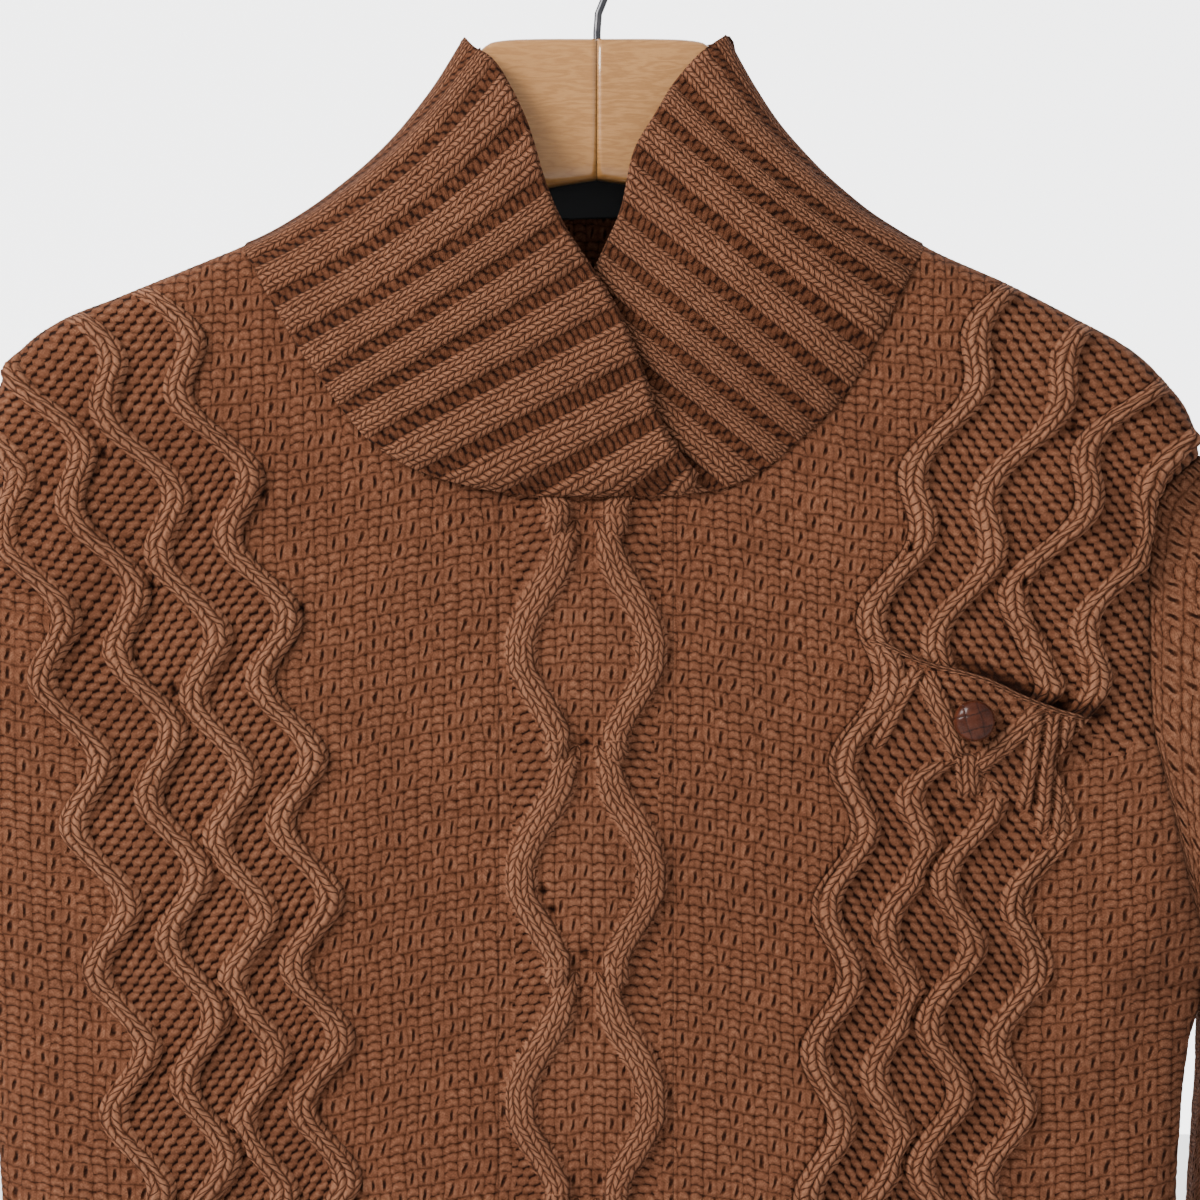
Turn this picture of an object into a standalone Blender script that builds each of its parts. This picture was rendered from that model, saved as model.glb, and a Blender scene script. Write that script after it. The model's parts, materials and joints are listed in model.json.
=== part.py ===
"""Hand-knit shawl collar sweater on a contoured wooden hanger.

The tables are in millimetres and Blender gets metres. The hook bears at the
origin, +Z is up, the front faces -Y and the wearer's left is +X. Every cloth
piece is a wall between two point grids: the outer one carries the cables and
ribs, the inner one is plain and coarser.
"""

import math

import bpy
import numpy as np

MM = 0.001

# Cloth
WALL = 3.0  # plain knit
SEAM = 0.4  # space left between two pieces at a seam
CABLE_RISE = 3.6
RIB_RISE = 2.0
STRAND_FOOT = 6.4  # half width of a travelling rib at its foot
STRAND_CREST = 3.4  # and along its top

# Body, as it hangs
SHOULDER_DEPTH = 15.0  # half depth over the hanger
BODY_DEPTH = 30.0  # half depth at the chest
ARM_TOP = -243.5
ARM_END = -466.1
ARM_DEPTH = 20.0  # half depth of the armhole
HEM_TOP = -746.0
HEM_END = -812.0
HEM_PITCH = 14.0

# Collar
COLLAR_DEPTH = 128.0  # from neck seam to free edge
COLLAR_GAP = 1.5
COLLAR_LAP = 5.8  # how far the upper wing stands off the lower one
ROLL_RADIUS = 5.0
BACK_RIBS = 11
LADDER = 0.14  # half width of the recess between ribs, as a share of the pitch

# Sleeve and cuff
SLEEVE_END = 0.92  # share of the length where the cuff starts
CUFF_RIBS = 13

# Pocket
POCKET_END = -472.0
POCKET_WALL = 3.0
POCKET_MOUTH = 4.2  # how far the top edge stands off the front
BUTTON_AT = (156.2, -354.4)

# Hanger
JOINT = 0.15  # half the width of the glue line
WIRE_RADIUS = 1.65
BORE_RADIUS = 2.1
BORE_END = -87.0

# Shoulder ridge, then the virtual line above the neck: x, z
RIDGE = np.array([
    (-257.0, -243.5), (-254.1, -222.0), (-246.5, -203.0), (-228.9, -187.5),
    (-202.4, -176.0), (-166.7, -161.0), (-148.7, -153.2), (-110.0, -128.0),
    (-60.0, -98.0), (0.0, -72.0), (60.0, -98.0), (105.0, -128.0),
    (137.8, -153.2), (173.5, -170.0),
    (200.8, -184.2), (223.9, -197.3), (240.7, -213.0), (251.0, -229.0),
    (254.1, -243.5),
])
# Front neck seam: x, z
NECK = np.array([
    (-148.7, -153.2), (-140.7, -165.8), (-128.9, -186.8), (-112.1, -212.0),
    (-91.1, -237.2), (-70.1, -249.0), (-45.0, -256.5), (0.0, -258.2),
    (45.0, -256.5), (64.3, -249.8), (85.3, -233.0), (102.1, -216.2),
    (118.9, -186.8), (127.3, -170.0), (137.8, -153.2),
])
# Back neck seam: x, z
BACK_NECK = np.array([
    (-148.7, -153.2), (-110.0, -137.0), (-60.0, -120.5), (0.0, -115.0),
    (60.0, -120.5), (105.0, -137.0), (137.8, -153.2),
])
# Side line, armhole then side seam: z, x on the wearer's right, x on the left
SIDES = np.array([
    (-243.5, -257.0, 254.1), (-250.0, -252.6, 244.9), (-262.0, -250.8, 235.0),
    (-290.0, -251.6, 231.0), (-321.0, -253.3, 230.4), (-350.0, -254.9, 231.4),
    (-388.0, -255.8, 239.4), (-425.0, -257.4, 248.4), (-449.0, -258.4, 254.5),
    (-466.1, -259.1, 256.6), (-493.0, -255.8, 250.3), (-552.0, -252.4, 245.6),
    (-640.0, -248.4, 244.6), (-700.0, -246.0, 243.6), (-746.0, -242.0, 241.0),
    (-762.0, -235.0, 236.0), (-790.0, -233.0, 234.0), (-812.0, -234.5, 235.5),
])
# Travelling ribs: end x, lean, lean fades over, swing, period, phase z
RIBS = {
    "A": (-108.5, -78.6, 131.8, 8.7, 59.1, -235.9),
    "B": (-132.8, -92.0, 136.2, 8.0, 58.9, -184.2),
    "C": (-152.6, -105.3, 149.7, 7.8, 59.6, -223.4),
    "D": (-175.1, -107.2, 191.7, 8.7, 60.2, -234.2),
    "E": (89.3, 83.2, 137.6, 6.5, 61.2, -202.2),
    "F": (115.7, 104.2, 120.0, 6.8, 61.0, -211.5),
    "G": (138.2, 129.7, 110.4, 7.8, 60.7, -192.1),
    "H": (160.2, 135.2, 134.7, 7.0, 58.9, -208.5),
}
RIB_START = -178.4
# Where two ribs close on each other below the button: rib, shift, z, spread
POCKET_TURNS = (("F", 13.0, -369.0, 12.0), ("G", 21.0, -346.0, 14.0))
# Columns of the plain panels: x where they meet the neck, then their share of
# the way from the nearest rib to the cable further down
NECK_COLUMNS = (
    (-148.7, 137.8, 0.12), (-139.5, 129.0, 0.24), (-127.0, 117.0, 0.37),
    (-109.0, 101.0, 0.50), (-91.0, 84.0, 0.63), (-76.0, 66.0, 0.76),
    (-62.0, 51.0, 0.88),
)
# Centre cable
CABLE_X = -5.9
CABLE_TOP = -268.7
CABLE_PERIOD = 94.5
CABLE_NARROW = 6.0
CABLE_SPREAD = 24.5
CABLE_FOOT = 7.4
# Pocket opening: x, z
OPENING = np.array([
    (112.0, -319.0), (117.6, -321.2), (136.5, -329.6), (160.4, -336.3),
    (181.9, -346.0), (203.3, -352.3), (216.0, -353.0),
])
# Collar rib recesses on the upper wing, from the centre front to the neck
# point: seam x, edge x, edge z, edge y, bow, bulge
UPPER_WING = np.array([
    (41.0, 42.5, -253.0, -38.0, 0.0, 0.0),
    (19.0, 36.0, -244.5, -38.0, 0.0, 0.0),
    (-28.6, 26.5, -228.4, -38.0, 0.0, 1.0),
    (-67.2, 19.3, -207.0, -38.0, 0.0, 3.0),
    (-90.6, 10.1, -184.7, -37.5, 0.0, 5.0),
    (-103.6, -1.3, -165.8, -36.0, 1.0, 7.0),
    (-113.0, -13.4, -146.9, -33.0, 2.0, 9.0),
    (-124.0, -21.0, -129.3, -29.0, 4.0, 10.0),
    (-134.0, -29.4, -102.0, -23.0, 7.0, 9.0),
    (-143.0, -41.2, -78.4, -17.5, 10.0, 7.0),
    (-148.2, -50.5, -69.0, -13.5, 10.0, 3.0),
])
# The same on the lower wing, from the neck point to its covered end
LOWER_WING = np.array([
    (137.3, 47.0, -68.0, -13.5, -9.0, 3.0),
    (131.5, 33.2, -83.9, -16.0, -7.0, 7.0),
    (124.6, 24.8, -98.0, -19.0, -4.0, 9.0),
    (113.0, 15.1, -115.4, -22.5, -2.0, 9.0),
    (102.1, 9.7, -139.3, -25.5, 0.0, 8.0),
    (91.1, 2.9, -155.7, -26.5, 0.0, 6.0),
    (80.2, -4.6, -171.0, -27.5, 0.0, 4.0),
    (68.5, -11.3, -184.0, -28.0, 0.0, 2.5),
    (48.0, -20.6, -203.0, -28.0, 0.0, 1.5),
    (18.1, -31.0, -228.8, -28.0, 0.0, 1.0),
    (-20.0, -41.0, -245.0, -28.0, 0.0, 0.0),
    (-39.0, -44.0, -250.5, -28.0, 0.0, 0.0),
])
# Fold line of the collar behind the neck: share of the way round, x, y, z
FOLD = np.array([
    (0.0, -57.0, -3.0, -64.5), (0.07, -54.5, 7.0, -67.5),
    (0.14, -48.0, 12.0, -70.5), (0.3, -26.0, 13.0, -72.5),
    (0.5, -1.0, 13.0, -73.0), (0.7, 25.0, 13.0, -72.0),
    (0.86, 46.0, 12.0, -69.5), (0.93, 52.5, 7.0, -66.0), (1.0, 55.0, -3.0, -61.8),
])
# Sleeve, the wearer's left: share of length, outer x, outer z, inner x,
# inner z, middle y, half depth
SLEEVE = np.array([
    (0.0, 254.1, -243.5, 256.6, -466.1, 0.0, 20.0),
    (0.15, 297.0, -298.0, 257.0, -506.0, 10.0, 24.0),
    (0.35, 333.0, -402.0, 255.0, -562.0, 18.0, 25.0),
    (0.55, 352.0, -520.0, 253.0, -630.0, 19.0, 23.0),
    (0.75, 356.0, -632.0, 256.0, -695.0, 17.0, 21.0),
    (0.92, 352.0, -728.0, 266.0, -742.0, 14.0, 18.0),
    (1.0, 350.0, -792.0, 268.0, -804.0, 13.0, 17.0),
])
# Hanger arm: x, top z, bottom z, half depth
ARM = np.array([
    (0.0, -65.0, -125.1, 8.0), (16.0, -65.0, -127.6, 8.0),
    (32.0, -65.3, -131.0, 8.0), (44.0, -66.5, -134.2, 8.0),
    (51.0, -71.5, -136.4, 8.0), (58.0, -82.5, -139.0, 8.0),
    (66.0, -99.0, -142.4, 8.0), (76.0, -114.5, -147.0, 8.0),
    (92.0, -134.0, -156.0, 8.0), (110.0, -147.5, -168.0, 8.0),
    (132.0, -160.5, -182.0, 8.0), (158.0, -173.5, -197.0, 8.0),
    (190.0, -189.5, -214.5, 8.0), (214.0, -202.5, -227.5, 7.8),
    (231.0, -215.0, -236.0, 7.0), (238.5, -223.0, -235.5, 5.0),
])
# Hook wire: x, z of its centre line, from the bore to where the arc starts
SHANK = ((0.0, -86.0), (0.0, -62.0), (0.6, -54.0), (3.6, -46.5), (9.5, -39.0))
HOOK_RADIUS = 20.0
HOOK_ARC = (-0.62, 3.75)  # radians, from the shank over the top to the tip

# Rows and points of the grids
FRONT_ROWS = 47
BACK_ROWS = 20
SLEEVE_POINTS = 20
COLLAR_ROWS = 9
POCKET_ROWS = 15
HEM_RIBS = round(560 / HEM_PITCH)

COLOURS = {
    "knit": ((0.300, 0.118, 0.053), 0.92, 0.0),
    "maple": ((0.620, 0.425, 0.215), 0.30, 0.0),
    "steel": ((0.060, 0.060, 0.065), 0.34, 1.0),
    "leather": ((0.060, 0.022, 0.013), 0.28, 0.0),
    "label": ((0.006, 0.006, 0.007), 0.80, 0.0),
}


# ---------------------------------------------------------------- curves


def smooth(xs, ys, at):
    """Monotone cubic through a table, held level past both ends."""
    xs = np.asarray(xs, float)
    ys = np.asarray(ys, float)
    if xs[0] > xs[-1]:
        xs, ys = xs[::-1], ys[::-1]
    step = np.diff(xs)
    rise = np.diff(ys) / step
    slope = np.zeros(len(xs))
    same = rise[1:] * rise[:-1] > 0
    weight_a = 2 * step[1:] + step[:-1]
    weight_b = step[1:] + 2 * step[:-1]
    safe_a = np.where(same, rise[:-1], 1.0)
    safe_b = np.where(same, rise[1:], 1.0)
    mean = (weight_a + weight_b) / (weight_a / safe_a + weight_b / safe_b)
    slope[1:-1] = np.where(same, mean, 0.0)
    slope[0] = rise[0]
    slope[-1] = rise[-1]
    at = np.clip(at, xs[0], xs[-1])
    i = np.clip(np.searchsorted(xs, at, side="right") - 1, 0, len(step) - 1)
    t = (at - xs[i]) / step[i]
    return (
        ys[i] * (1 + 2 * t) * (1 - t) ** 2
        + slope[i] * step[i] * t * (1 - t) ** 2
        + ys[i + 1] * t * t * (3 - 2 * t)
        + slope[i + 1] * step[i] * t * t * (t - 1)
    )


def ease(low, high, at):
    """0 below low, 1 above high, smooth between."""
    t = np.clip((at - low) / (high - low), 0.0, 1.0)
    return t * t * (3 - 2 * t)


def ridge(x):
    return smooth(RIDGE[:, 0], RIDGE[:, 1], x)


def front_top(x):
    """Top edge of the front: the shoulder ridge, and the neck seam inside it."""
    neck = smooth(NECK[:, 0], NECK[:, 1], x)
    inside = (x > NECK[0, 0]) & (x < NECK[-1, 0])
    return np.where(inside, neck, ridge(x))


def back_top(x):
    neck = smooth(BACK_NECK[:, 0], BACK_NECK[:, 1], x)
    inside = (x > BACK_NECK[0, 0]) & (x < BACK_NECK[-1, 0])
    return np.where(inside, neck, ridge(x))


def side(z, left):
    """x of the armhole and side seam; left is the wearer's left."""
    return smooth(SIDES[:, 0], SIDES[:, 2 if left else 1], z)


def rib_x(name, z):
    end, lean, fade, swing, period, phase = RIBS[name]
    x = end + lean * np.exp((z - RIB_START) / fade)
    x = x + swing * np.sin(2 * np.pi * (phase - z) / period)
    for rib, shift, turn_z, spread in POCKET_TURNS:
        if rib == name:
            x = x + shift * np.exp(-(((z - turn_z) / spread) ** 2))
    return x


def cable_spread(z):
    """Distance of each strand from the middle of the cable."""
    turn = 2 * np.pi * (CABLE_TOP - z) / CABLE_PERIOD
    return CABLE_NARROW + CABLE_SPREAD * (0.5 - 0.5 * np.cos(turn)) ** 0.8


# ------------------------------------------------------------------ body


def arm_rim(z):
    middle = (ARM_TOP + ARM_END) / 2
    half = (ARM_TOP - ARM_END) / 2
    return ARM_DEPTH * np.sqrt(np.clip(1 - ((z - middle) / half) ** 2, 0, 1))


def depth(x, z):
    """Half depth of the hanging body, from the middle plane to its outside."""
    below = np.clip(ridge(x) - z, 0, None)
    deep = SHOULDER_DEPTH + (BODY_DEPTH - SHOULDER_DEPTH) * (1 - np.exp(-below / 80))
    deep = deep * (1 - 0.14 * ease(-732, -762, z))
    top = np.sqrt(1 - np.exp(-below / 6))
    width = np.where(x < 0, -side(z, False), side(z, True))
    share = np.clip(np.abs(x) / width, 0, 1)
    power = 4 + 30 * np.exp(-np.clip(ARM_TOP - z, 0, None) / 50)
    rounded = np.sqrt(np.clip(1 - share**power, 0, 1))
    rim = arm_rim(z)
    return rim + (np.maximum(deep * top, rim) - rim) * rounded


def contour(x, z):
    """Forward sweep of the hanger's arms, which fades down the garment."""
    sweep = 0.05 * (np.sqrt(x * x + 900) - 30) + 9e-5 * np.minimum(x * x, 62500)
    return -sweep * (0.35 + 0.65 * ease(-620, -240, z))


def folds(x, z, back):
    """Soft hanging folds: deeper towards the hem, and unlike on each side."""
    low = ease(-330, -720, z)
    if back:
        wave = 3.6 * np.sin(x / 34 - 0.4) + 2.4 * np.sin(x / 19 + z / 150)
        return low * wave + 1.2 * np.sin((x + 0.6 * z) / 60) * ease(-170, -260, z)
    wave = 3.2 * np.sin(x / 41 + 0.9) + 2.0 * np.sin(x / 23 - z / 170 + 0.5)
    return low * wave


def drape(points):
    """Moves every cloth point by the same sweep and folds."""
    points = np.array(points, float)
    x, y, z = points[..., 0], points[..., 1], points[..., 2]
    inside = ease(262, 236, np.abs(x))
    front = ease(0, -14, y) * inside
    back = ease(0, 14, y) * inside
    shift = contour(x, z) - front * folds(x, z, False) + back * folds(x, z, True)
    points[..., 1] = y + shift
    return points


def normals(grid, toward, closed=False):
    """Unit normals of a point grid, on the side that toward is on."""
    down = np.gradient(grid, axis=0)
    if closed:
        across = (np.roll(grid, -1, axis=1) - np.roll(grid, 1, axis=1)) / 2
    else:
        across = np.gradient(grid, axis=1)
    found = np.cross(down, across)
    found /= np.maximum(np.linalg.norm(found, axis=2, keepdims=True), 1e-9)
    flip = np.sign(np.sum(found * toward, axis=2, keepdims=True))
    return found * np.where(flip == 0, 1, flip)


# ------------------------------------------------------- walls to objects


def strip(fine, coarse, picks):
    """Faces between a fine edge and the coarser edge under it."""
    faces = []
    for k in range(len(coarse) - 1):
        low, high = picks[k], picks[k + 1]
        middle = (low + high) // 2
        for a in range(low, high):
            foot = coarse[k] if a < middle or high - low == 1 else coarse[k + 1]
            faces.append((fine[a], fine[a + 1], foot))
            if a + 1 == middle and high - low > 1:
                faces.append((fine[a + 1], coarse[k + 1], coarse[k]))
        if high - low == 1:
            faces.append((fine[high], coarse[k + 1], coarse[k]))
    return faces


def new_object(name, points, faces, colour):
    mesh = bpy.data.meshes.new(name)
    mesh.from_pydata([tuple(p) for p in points * MM], [], faces)
    mesh.materials.append(MATERIALS[colour])
    mesh.shade_smooth()
    thing = bpy.data.objects.new(name, mesh)
    PARTS.objects.link(thing)
    bpy.context.view_layer.objects.active = thing
    bpy.ops.object.mode_set(mode="EDIT")
    bpy.ops.mesh.select_all(action="SELECT")
    bpy.ops.mesh.normals_make_consistent(inside=False)
    bpy.ops.object.mode_set(mode="OBJECT")
    return thing


def wall(name, outer, inner, rows, cols, colour="knit", closed=False):
    """Closed body between an outer grid and an inner grid of picked lines."""
    height, width = outer.shape[:2]
    points = np.concatenate([outer.reshape(-1, 3), inner.reshape(-1, 3)])
    ids = np.arange(height * width).reshape(height, width)
    under = height * width + np.arange(inner.shape[0] * inner.shape[1])
    under = under.reshape(inner.shape[:2])
    if closed:
        ids = np.concatenate([ids, ids[:, :1]], axis=1)
        under = np.concatenate([under, under[:, :1]], axis=1)
        cols = list(cols) + [width]
    faces = []
    for grid in (ids, under):
        for r in range(grid.shape[0] - 1):
            for c in range(grid.shape[1] - 1):
                faces.append((grid[r, c], grid[r, c + 1], grid[r + 1, c + 1], grid[r + 1, c]))
    for r, row in ((0, 0), (-1, -1)):
        faces += strip(ids[r], under[row], cols)
    if not closed:
        for c, col in ((0, 0), (-1, -1)):
            faces += strip(ids[:, c], under[:, col], rows)
    faces = [tuple(int(i) for i in face) for face in faces]
    return new_object(name, points, faces, colour)


# ----------------------------------------------------------- front and back


def front_lines():
    """The front's column lines: (x as a function of z, height of its relief)."""
    lines = []

    def between(share, name, foot, left):
        return lambda z: (1 - share) * side(z, left) + share * (rib_x(name, z) + foot)

    def strand(name, offset):
        return lambda z: rib_x(name, z) + offset

    def cable(sign, offset):
        return lambda z: CABLE_X + sign * cable_spread(z) + offset

    def plain(z, sign, share):
        beside = rib_x("E" if sign > 0 else "A", z) - sign * STRAND_FOOT
        cable_side = CABLE_X + sign * (CABLE_NARROW + CABLE_SPREAD + CABLE_FOOT + 7)
        return (1 - share) * beside + share * cable_side

    def panel(sign, top, share):
        near = lambda z: ease(-345, -205, z)
        return lambda z: near(z) * top + (1 - near(z)) * plain(z, sign, share)

    foot, crest = STRAND_FOOT, STRAND_CREST
    profile = ((-foot, 0.0), (-crest, 1.0), (crest, 1.0), (foot, 0.0))
    for share in (0.0, 0.2, 0.6):
        lines.append((between(share, "D", -foot, False), 0.0))
    for name in "DCBA":
        for offset, rise in profile:
            lines.append((strand(name, offset), rise))
    for left_x, right_x, share in NECK_COLUMNS:
        lines.append((panel(-1, left_x, share), 0.0))
    lines.append((lambda z: plain(z, -1, 1.0), 0.0))
    for sign in (-1, 1):
        for offset, rise in profile:
            grow = CABLE_FOOT / foot
            lines.append((cable(sign, offset * grow), rise))
        if sign < 0:
            lines.append((lambda z: CABLE_X + 0 * z, 0.0))
    lines.append((lambda z: plain(z, 1, 1.0), 0.0))
    for left_x, right_x, share in reversed(NECK_COLUMNS):
        lines.append((panel(1, right_x, share), 0.0))
    for name in "EFGH":
        for offset, rise in profile:
            lines.append((strand(name, offset), rise))
    for share in (0.6, 0.2, 0.0):
        lines.append((between(share, "H", foot, True), 0.0))
    return lines


def spaced(columns, least=1.3):
    """Keeps neighbouring column lines apart, working in from the sides."""
    columns = columns.copy()
    count = len(columns)
    centre = count // 2
    for i in range(1, centre - 5):
        columns[i] = np.maximum(columns[i], columns[i - 1] + least)
    for i in range(count - 2, centre + 5, -1):
        columns[i] = np.minimum(columns[i], columns[i + 1] - least)
    for i in range(centre - 1, centre - 5, -1):
        columns[i] = np.minimum(columns[i], columns[i + 1] - least)
    for i in range(centre + 1, centre + 5):
        columns[i] = np.maximum(columns[i], columns[i - 1] + least)
    return columns


def column_grid(columns, levels, top_line, first_steps, rows, bottom):
    """(x, z) of each row of each column line, from the top line down."""
    grid_x, grid_z = [], []
    for line in columns:
        over = levels - top_line(line)
        first = int(np.argmax(over <= 0))
        before = max(first - 1, 0)
        span = over[before] - over[first]
        share = over[before] / span if span > 0 else 0.0
        start = levels[before] + share * (levels[first] - levels[before])
        near = start - np.array(first_steps)
        rest = np.linspace(near[-1], bottom, rows - len(first_steps) + 1)[1:]
        z = np.concatenate([near, rest])
        grid_z.append(z)
        grid_x.append(np.interp(-z, -levels, line))
    return np.array(grid_x).T, np.array(grid_z).T


def body_grid(x, z, sign):
    """Points on the outside of the body and their normals; sign is that of y."""
    y = sign * np.maximum(depth(x, z), SEAM / 2)
    grid = np.stack([x, y, z], axis=2)
    found = normals(grid, np.array([0.0, sign, 0.0]))
    on_ridge = (x[0] < NECK[0, 0] + 1) | (x[0] > NECK[-1, 0] - 1)
    top = found[0].copy()
    top[:, 1] = 0
    top[:, 2] = np.abs(top[:, 2]) + 0.05
    top /= np.linalg.norm(top, axis=1, keepdims=True)
    found[0] = np.where(on_ridge[:, None], top, found[0])
    found[1:, 0] = (-1, 0, 0)
    found[1:, -1] = (1, 0, 0)
    found[-1, :, 2] = 0
    found[-1] /= np.linalg.norm(found[-1], axis=1, keepdims=True)
    return grid, found


def pocket_cover(x, z):
    """1 where the pocket lies over the front, fading at its top and bottom."""
    left = rib_x("E", z) - STRAND_FOOT - 0.5
    right = rib_x("H", z) + STRAND_FOOT + 0.5
    below = smooth(OPENING[:, 0], OPENING[:, 1], x) - z
    return (x > left) * (x < right) * ease(2, 26, below) * ease(POCKET_END - 26, POCKET_END - 14, z)


def make_front():
    lines = front_lines()
    levels = np.arange(-140.0, HEM_TOP - 1, -1.0)
    columns = spaced(np.array([line(levels) for line, rise in lines]))
    x, z = column_grid(
        columns, levels, front_top, (0, 1.6, 4.5, 9, 15, 23), FRONT_ROWS, HEM_TOP + SEAM / 2
    )
    grid, out = body_grid(x, z, -1)
    rise = np.array([height for line, height in lines])[None, :] * CABLE_RISE
    rise = rise * ease(0, 9, z[:1] - z) * ease(HEM_TOP, HEM_TOP + 12, z)
    rise = rise * (1 - pocket_cover(x, z))
    outer = grid + out * rise[:, :, None]
    rows = [0, 1, 3, 5] + list(range(8, FRONT_ROWS - 2, 4)) + [FRONT_ROWS - 1]
    last = len(lines) - 1
    cols = [0, 1, 3, 7, 11, 15, 18, 19, 20, 21, 22, 23, 24, 25, 26, 28, 31]
    cols = cols + [last - c for c in reversed(cols[:-1])]
    inner = (grid - out * WALL)[np.ix_(rows, cols)]
    wall("front", drape(outer), drape(inner), rows, cols)
    return columns, levels


def make_back():
    shares = (1.0, 0.98, 0.92, 0.8, 0.64, 0.5, 0.34, 0.17)
    levels = np.arange(-100.0, HEM_TOP - 1, -1.0)
    left = [share * side(levels, False) for share in shares]
    right = [share * side(levels, True) for share in reversed(shares)]
    columns = np.array(left + [0 * levels] + right)
    x, z = column_grid(
        columns, levels, back_top, (0, 1.6, 4.5, 9, 15, 23), BACK_ROWS, HEM_TOP + SEAM / 2
    )
    grid, out = body_grid(x, z, 1)
    rows = list(range(BACK_ROWS))
    cols = list(range(len(columns)))
    wall("back", drape(grid), drape(grid - out * WALL), rows, cols)


def make_hem(name, sign):
    """Ribbed band under one panel, its ribs even along the cloth."""
    levels = np.array([HEM_TOP - SEAM / 2, HEM_TOP - 6, -782.0, HEM_END])
    rings = []
    for z in levels:
        turn = np.linspace(0, np.pi, 240)
        half = (side(z, True) - side(z, False)) / 2
        middle = (side(z, True) + side(z, False)) / 2
        x = middle - half * np.cos(turn)
        y = sign * np.maximum(depth(x, z + 0 * x), SEAM / 2)
        run = np.concatenate([[0], np.cumsum(np.hypot(np.diff(x), np.diff(y)))])
        count = 2 * HEM_RIBS + 1
        at = np.linspace(0, run[-1], count)
        ring = np.stack([np.interp(at, run, x), np.interp(at, run, y), z + 0 * at], axis=1)
        rings.append(ring)
    grid = np.array(rings)
    out = normals(grid, np.array([0.0, sign, 0.0]))
    out[:, 0] = (-1, 0, 0)
    out[:, -1] = (1, 0, 0)
    out[0, :, 2] = 0
    out[0] /= np.linalg.norm(out[0], axis=1, keepdims=True)
    rise = RIB_RISE * (np.arange(grid.shape[1]) % 2)[None, :] * np.array([0.3, 1, 1, 1])[:, None]
    cols = list(range(0, grid.shape[1], 4))
    rows = [0, 1, 2, 3]
    inner = (grid - out * WALL)[:, cols]
    wall(name, drape(grid + out * rise[:, :, None]), drape(inner), rows, cols)


# ----------------------------------------------------------------- sleeves


def sleeve_point(share, turn, left):
    """Outside of a sleeve. turn is 0 at its outer fold and pi at its inner one."""
    sign = 1 if left else -1
    cut = SLEEVE[:, 0]
    outer_x = smooth(cut, SLEEVE[:, 1], share)
    outer_z = smooth(cut, SLEEVE[:, 2], share)
    inner_x = smooth(cut, SLEEVE[:, 3], share)
    inner_z = smooth(cut, SLEEVE[:, 4], share)
    middle_y = smooth(cut, SLEEVE[:, 5], share)
    half = smooth(cut, SLEEVE[:, 6], share)
    if not left:
        middle_y = middle_y * 0.9
        inner_x = inner_x + 6.0 * ease(0.06, 0.4, share)
        outer_x = outer_x + 4.0 * ease(0.02, 0.2, share)
    full = 1 - 0.25 * np.clip(share / 0.2, 0, 1)
    across = np.sign(np.cos(turn)) * np.abs(np.cos(turn)) ** full
    around = np.sign(np.sin(turn)) * np.abs(np.sin(turn)) ** full
    creased = np.clip(np.sin(np.pi * np.clip((share - 0.12) / 0.76, 0, 1)), 0, 1)
    slant = 0.35 if left else -0.3
    crease = 2.6 * np.sin(2 * np.pi * (4.2 * share + slant * np.cos(turn)) + (0.4 if left else 2.0))
    half = half + creased * crease
    x = (outer_x + inner_x) / 2 + (outer_x - inner_x) / 2 * across
    z = (outer_z + inner_z) / 2 + (outer_z - inner_z) / 2 * across
    y = middle_y - half * around
    arm_z = (ARM_TOP + ARM_END) / 2 + (ARM_TOP - ARM_END) / 2 * np.cos(turn)
    arm_x = sign * side(arm_z, left) + 2.9 * SEAM + 1.8 * np.abs(np.sin(turn / 2)) ** 12
    start = smooth(cut[:2], SLEEVE[:2, 1], 0 * share) + 0 * turn
    hold = np.exp(-((share / 0.055) ** 2))
    flat_x = (start + SLEEVE[0, 3]) / 2 + (start - SLEEVE[0, 3]) / 2 * np.cos(turn)
    x = x + (arm_x - flat_x) * hold
    return np.stack(np.broadcast_arrays(sign * x, y, z), axis=-1)


def even_turns(share, left, count):
    """Turns that space points evenly round the sleeve."""
    turn = np.linspace(0, 2 * np.pi, 361)
    ring = sleeve_point(np.full(361, share), turn, left)
    run = np.concatenate([[0], np.cumsum(np.linalg.norm(np.diff(ring, axis=0), axis=1))])
    return np.interp(np.linspace(0, run[-1], count + 1)[:-1], run, turn)


def tube_grid(shares, left, count):
    grid = []
    for share in shares:
        even = even_turns(share, left, count)
        plain = np.linspace(0, 2 * np.pi, count, endpoint=False)
        turn = plain + (even - plain) * ease(0.05, 0.3, share)
        grid.append(sleeve_point(np.full(count, share), turn, left))
    grid = np.array(grid)
    away = grid - grid.mean(axis=1, keepdims=True)
    return grid, normals(grid, away, closed=True)


def make_sleeve(name, left):
    shares = np.concatenate([[0, 0.02, 0.05], np.linspace(0.1, SLEEVE_END, 15)])
    grid, out = tube_grid(shares, left, SLEEVE_POINTS)
    out[0] = grid[0] - grid[0].mean(axis=0)
    out[0, :, 0] = 0
    out[0] /= np.linalg.norm(out[0], axis=1, keepdims=True)
    rows = [0, 1, 2] + list(range(3, len(shares) - 1, 2)) + [len(shares) - 1]
    rows = sorted(set(rows))
    cols = list(range(SLEEVE_POINTS))
    inner = (grid - out * WALL)[rows]
    wall(name, drape(grid), drape(inner), rows, cols, closed=True)


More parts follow.
